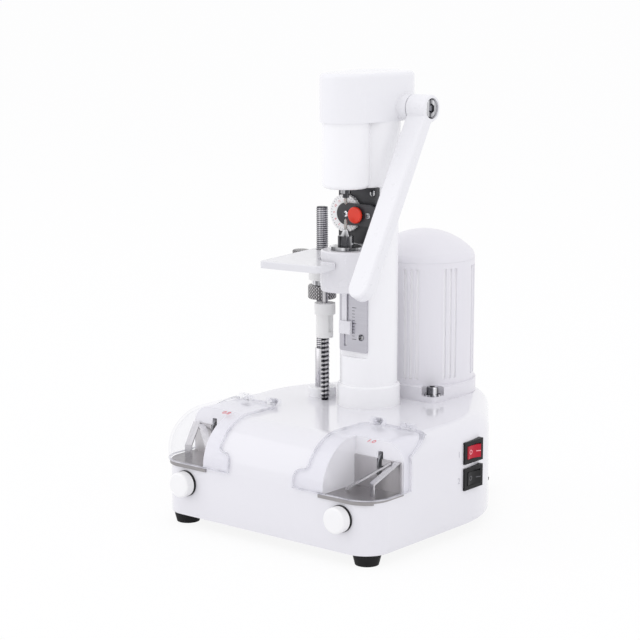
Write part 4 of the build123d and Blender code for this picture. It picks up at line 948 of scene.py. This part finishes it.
TICK_BOTTOM, TICK_STEP, TICKS, TICK_DEPTH = 124.5, 2.2, 11, 0.08
tick_heights = [TICK_BOTTOM + TICK_STEP * index for index in range(TICKS)]
TICK_KINDS = (("scale_ticks", 1, 0.2, 2.2, 0.32), ("scale_long_ticks", 5, 0.9, 3.6, 0.36))
for name, every, x, length, line in TICK_KINDS:
    spots = [((x, SCALE_FRONT, z), (0, 0, 0)) for z in tick_heights[::every]]
    bar = bar_mesh(length, TICK_DEPTH, line)
    repeated(name, bar, spots, BLACK_PRINT, "machine")

DIAL_TICKS, TICK_CIRCLE, TICK_LENGTH, TICK_LINE = 36, 11.4, 1.2, 0.22
DIAL_NUMBERS, NUMBER_CIRCLE, NUMBER_HEIGHT = 12, 9.0, 1.7
dial_spots = []
for angle in angles_round(DIAL_TICKS):
    place = (DIAL_X + TICK_CIRCLE * math.cos(angle), DIAL_FRONT, DIAL_Z + TICK_CIRCLE * math.sin(angle))
    dial_spots.append((place, (0, -math.degrees(angle), 0)))
dial_bar = bar_mesh(TICK_LENGTH, TICK_DEPTH, TICK_LINE)
repeated("dial_ticks", dial_bar, dial_spots, BLACK_PRINT, "dial")

PRINT_DEPTH = 0.06
SIZE_PER_HEIGHT = 1.35


def lettering(name, words, height, place, turn, material, body):
    """Raised print: its middle at a place in millimetres, turned by degrees."""
    curve = bpy.data.curves.new(name, "FONT")
    curve.body = words
    curve.size = height * MM * SIZE_PER_HEIGHT
    curve.align_x = "CENTER"
    curve.align_y = "CENTER"
    curve.extrude = PRINT_DEPTH * MM
    mesh = final_mesh(linked(name, curve))
    angles = [math.radians(v) for v in turn]
    matrix = Matrix.Translation(Vector(place) * MM)
    matrix = matrix @ Matrix.Rotation(angles[2], 4, "Z") @ Matrix.Rotation(angles[1], 4, "Y")
    matrix = matrix @ Matrix.Rotation(angles[0], 4, "X")
    mesh.transform(matrix)
    piece(name, mesh, material, body)


for index in range(DIAL_NUMBERS):
    turn = 360 // DIAL_NUMBERS * index
    angle = math.radians(90 - turn)
    place = (DIAL_X + NUMBER_CIRCLE * math.cos(angle), DIAL_FRONT, DIAL_Z + NUMBER_CIRCLE * math.sin(angle))
    lettering(f"dial_number_{index}", str(index), NUMBER_HEIGHT, place, (90, turn, 0), RED_PRINT, "dial")

WALL_MARK_Y, WALL_MARK_HEIGHT = SWITCH_Y - 15.2, 4.2
for words, z in (("1", RED_SWITCH_Z), ("2", BLACK_SWITCH_Z)):
    place = (WALL_X, WALL_MARK_Y, z)
    lettering(f"switch_mark_{words}", words, WALL_MARK_HEIGHT, place, (90, 0, 90), GREY_PRINT, "machine")

GUARD_SLOPE = 13.0
GUARD_MARK_Y, GUARD_MARK_Z, GUARD_MARK_HEIGHT = FRONT_Y + 24.0, 77.95, 4.0
for side, words, x in (("right", "1.0", 73.0), ("left", "0.8", -52.0)):
    lettering(f"guard_number_{side}", words, GUARD_MARK_HEIGHT, (x, GUARD_MARK_Y, GUARD_MARK_Z),
              (GUARD_SLOPE, 0, 0), RED_PRINT, f"guard_{side}")

# Floor, backdrop and lamps

PAPER_SHARE = 0.90
SKY_LIGHT = 0.93
FLOOR_HALF = 30.0


def seen_directly(f):
    """One for rays from the camera, mirrored rays and rays through the clear guards."""
    kinds = ("Is Camera Ray", "Is Glossy Ray", "Is Transmission Ray")
    straight, mirrored, through = (f.node("ShaderNodeLightPath", {}, [], kind) for kind in kinds)
    return (straight + mirrored + through).held()


def backdrop():
    f = Finish("pale floor")
    speck = f.noise(300.0, 2.0)
    tone = f.between(speck, (0.95, 0.95, 0.95), (0.93, 0.93, 0.935))
    matte = f.surface(tone, 0.9 + 0.05 * speck, Specular_IOR_Level=0.0)
    paper = f.node("ShaderNodeEmission", {}, {"Color": (1.0, 1.0, 1.0, 1.0), "Strength": 1.0})
    share = PAPER_SHARE * seen_directly(f)
    return f.done(f.node("ShaderNodeMixShader", {}, [share, matte, paper]))


corners = [(x * FLOOR_HALF, y * FLOOR_HALF, 0) for x, y in ((-1, -1), (1, -1), (1, 1), (-1, 1))]
floor_mesh = mesh_of("floor", corners, [(0, 1, 2, 3)], False)
floor_mesh.materials.append(backdrop())
floor = linked("floor", floor_mesh)


def background(tree, color, strength):
    made = tree.nodes.new("ShaderNodeBackground")
    made.inputs["Color"].default_value = (*color, 1.0)
    made.inputs["Strength"].default_value = strength
    return made


world = bpy.data.worlds.new("pale studio")
bpy.context.scene.world = world
world.use_nodes = True
sky = world.node_tree
sky.nodes.clear()
path = sky.nodes.new("ShaderNodeLightPath")
mirrored = sky.nodes.new("ShaderNodeMath")
mirrored.operation = "ADD"
direct = sky.nodes.new("ShaderNodeMath")
direct.operation = "ADD"
direct.use_clamp = True
soft = background(sky, (0.97, 0.965, 1.0), SKY_LIGHT)
white = background(sky, (1.0, 1.0, 1.0), 1.0)
seen = sky.nodes.new("ShaderNodeMixShader")
out = sky.nodes.new("ShaderNodeOutputWorld")
for source, target in (
    (path.outputs["Is Glossy Ray"], mirrored.inputs[0]),
    (path.outputs["Is Transmission Ray"], mirrored.inputs[1]),
    (path.outputs["Is Camera Ray"], direct.inputs[0]),
    (mirrored.outputs[0], direct.inputs[1]),
    (direct.outputs[0], seen.inputs[0]),
    (soft.outputs[0], seen.inputs[1]),
    (white.outputs[0], seen.inputs[2]),
    (seen.outputs[0], out.inputs["Surface"]),
):
    sky.links.new(source, target)


def aimed(made, place, away):
    """Puts an object at a place, its back turned towards the direction away."""
    made.location = place
    made.rotation_mode = "QUATERNION"
    made.rotation_quaternion = (-away).to_track_quat("-Z", "Y")


def lamp(name, place, target, width, height, power):
    light = bpy.data.lights.new(name, "AREA")
    light.shape = "RECTANGLE"
    light.size = width
    light.size_y = height
    light.energy = power
    aimed(linked(name, light), place, Vector(place) - Vector(target))


lamp("left_soft_box", (-1.5, -1.5, 1.3), (0, 0, 0.15), width=2.2, height=2.2, power=8.0)
lamp("right_soft_box", (1.9, 0.0, 1.0), (0, 0, 0.15), width=1.6, height=1.8, power=2.0)
lamp("top_soft_box", (0.1, -0.1, 2.1), (0, 0, 0.1), width=2.4, height=2.4, power=4.8)

# The camera as it was fitted to the photograph, in metres and in pixels of its picture

CAMERA_PLACE = (0.81978, -1.0464, 0.38252)
AZIMUTH, PITCH = math.radians(39.38), math.radians(10.5)
FOCAL_PIXELS, PICTURE_PIXELS, SENSOR_WIDTH = 1954.0, 640.0, 36.0
back = Vector((
    math.sin(AZIMUTH) * math.cos(PITCH),
    -math.cos(AZIMUTH) * math.cos(PITCH),
    math.sin(PITCH),
))
camera_data = bpy.data.cameras.new("camera")
camera_data.sensor_width = SENSOR_WIDTH
camera_data.lens = FOCAL_PIXELS / PICTURE_PIXELS * SENSOR_WIDTH
camera = linked("camera", camera_data)
aimed(camera, CAMERA_PLACE, back)
bpy.context.scene.camera = camera
bpy.context.scene.view_settings.view_transform = "Standard"
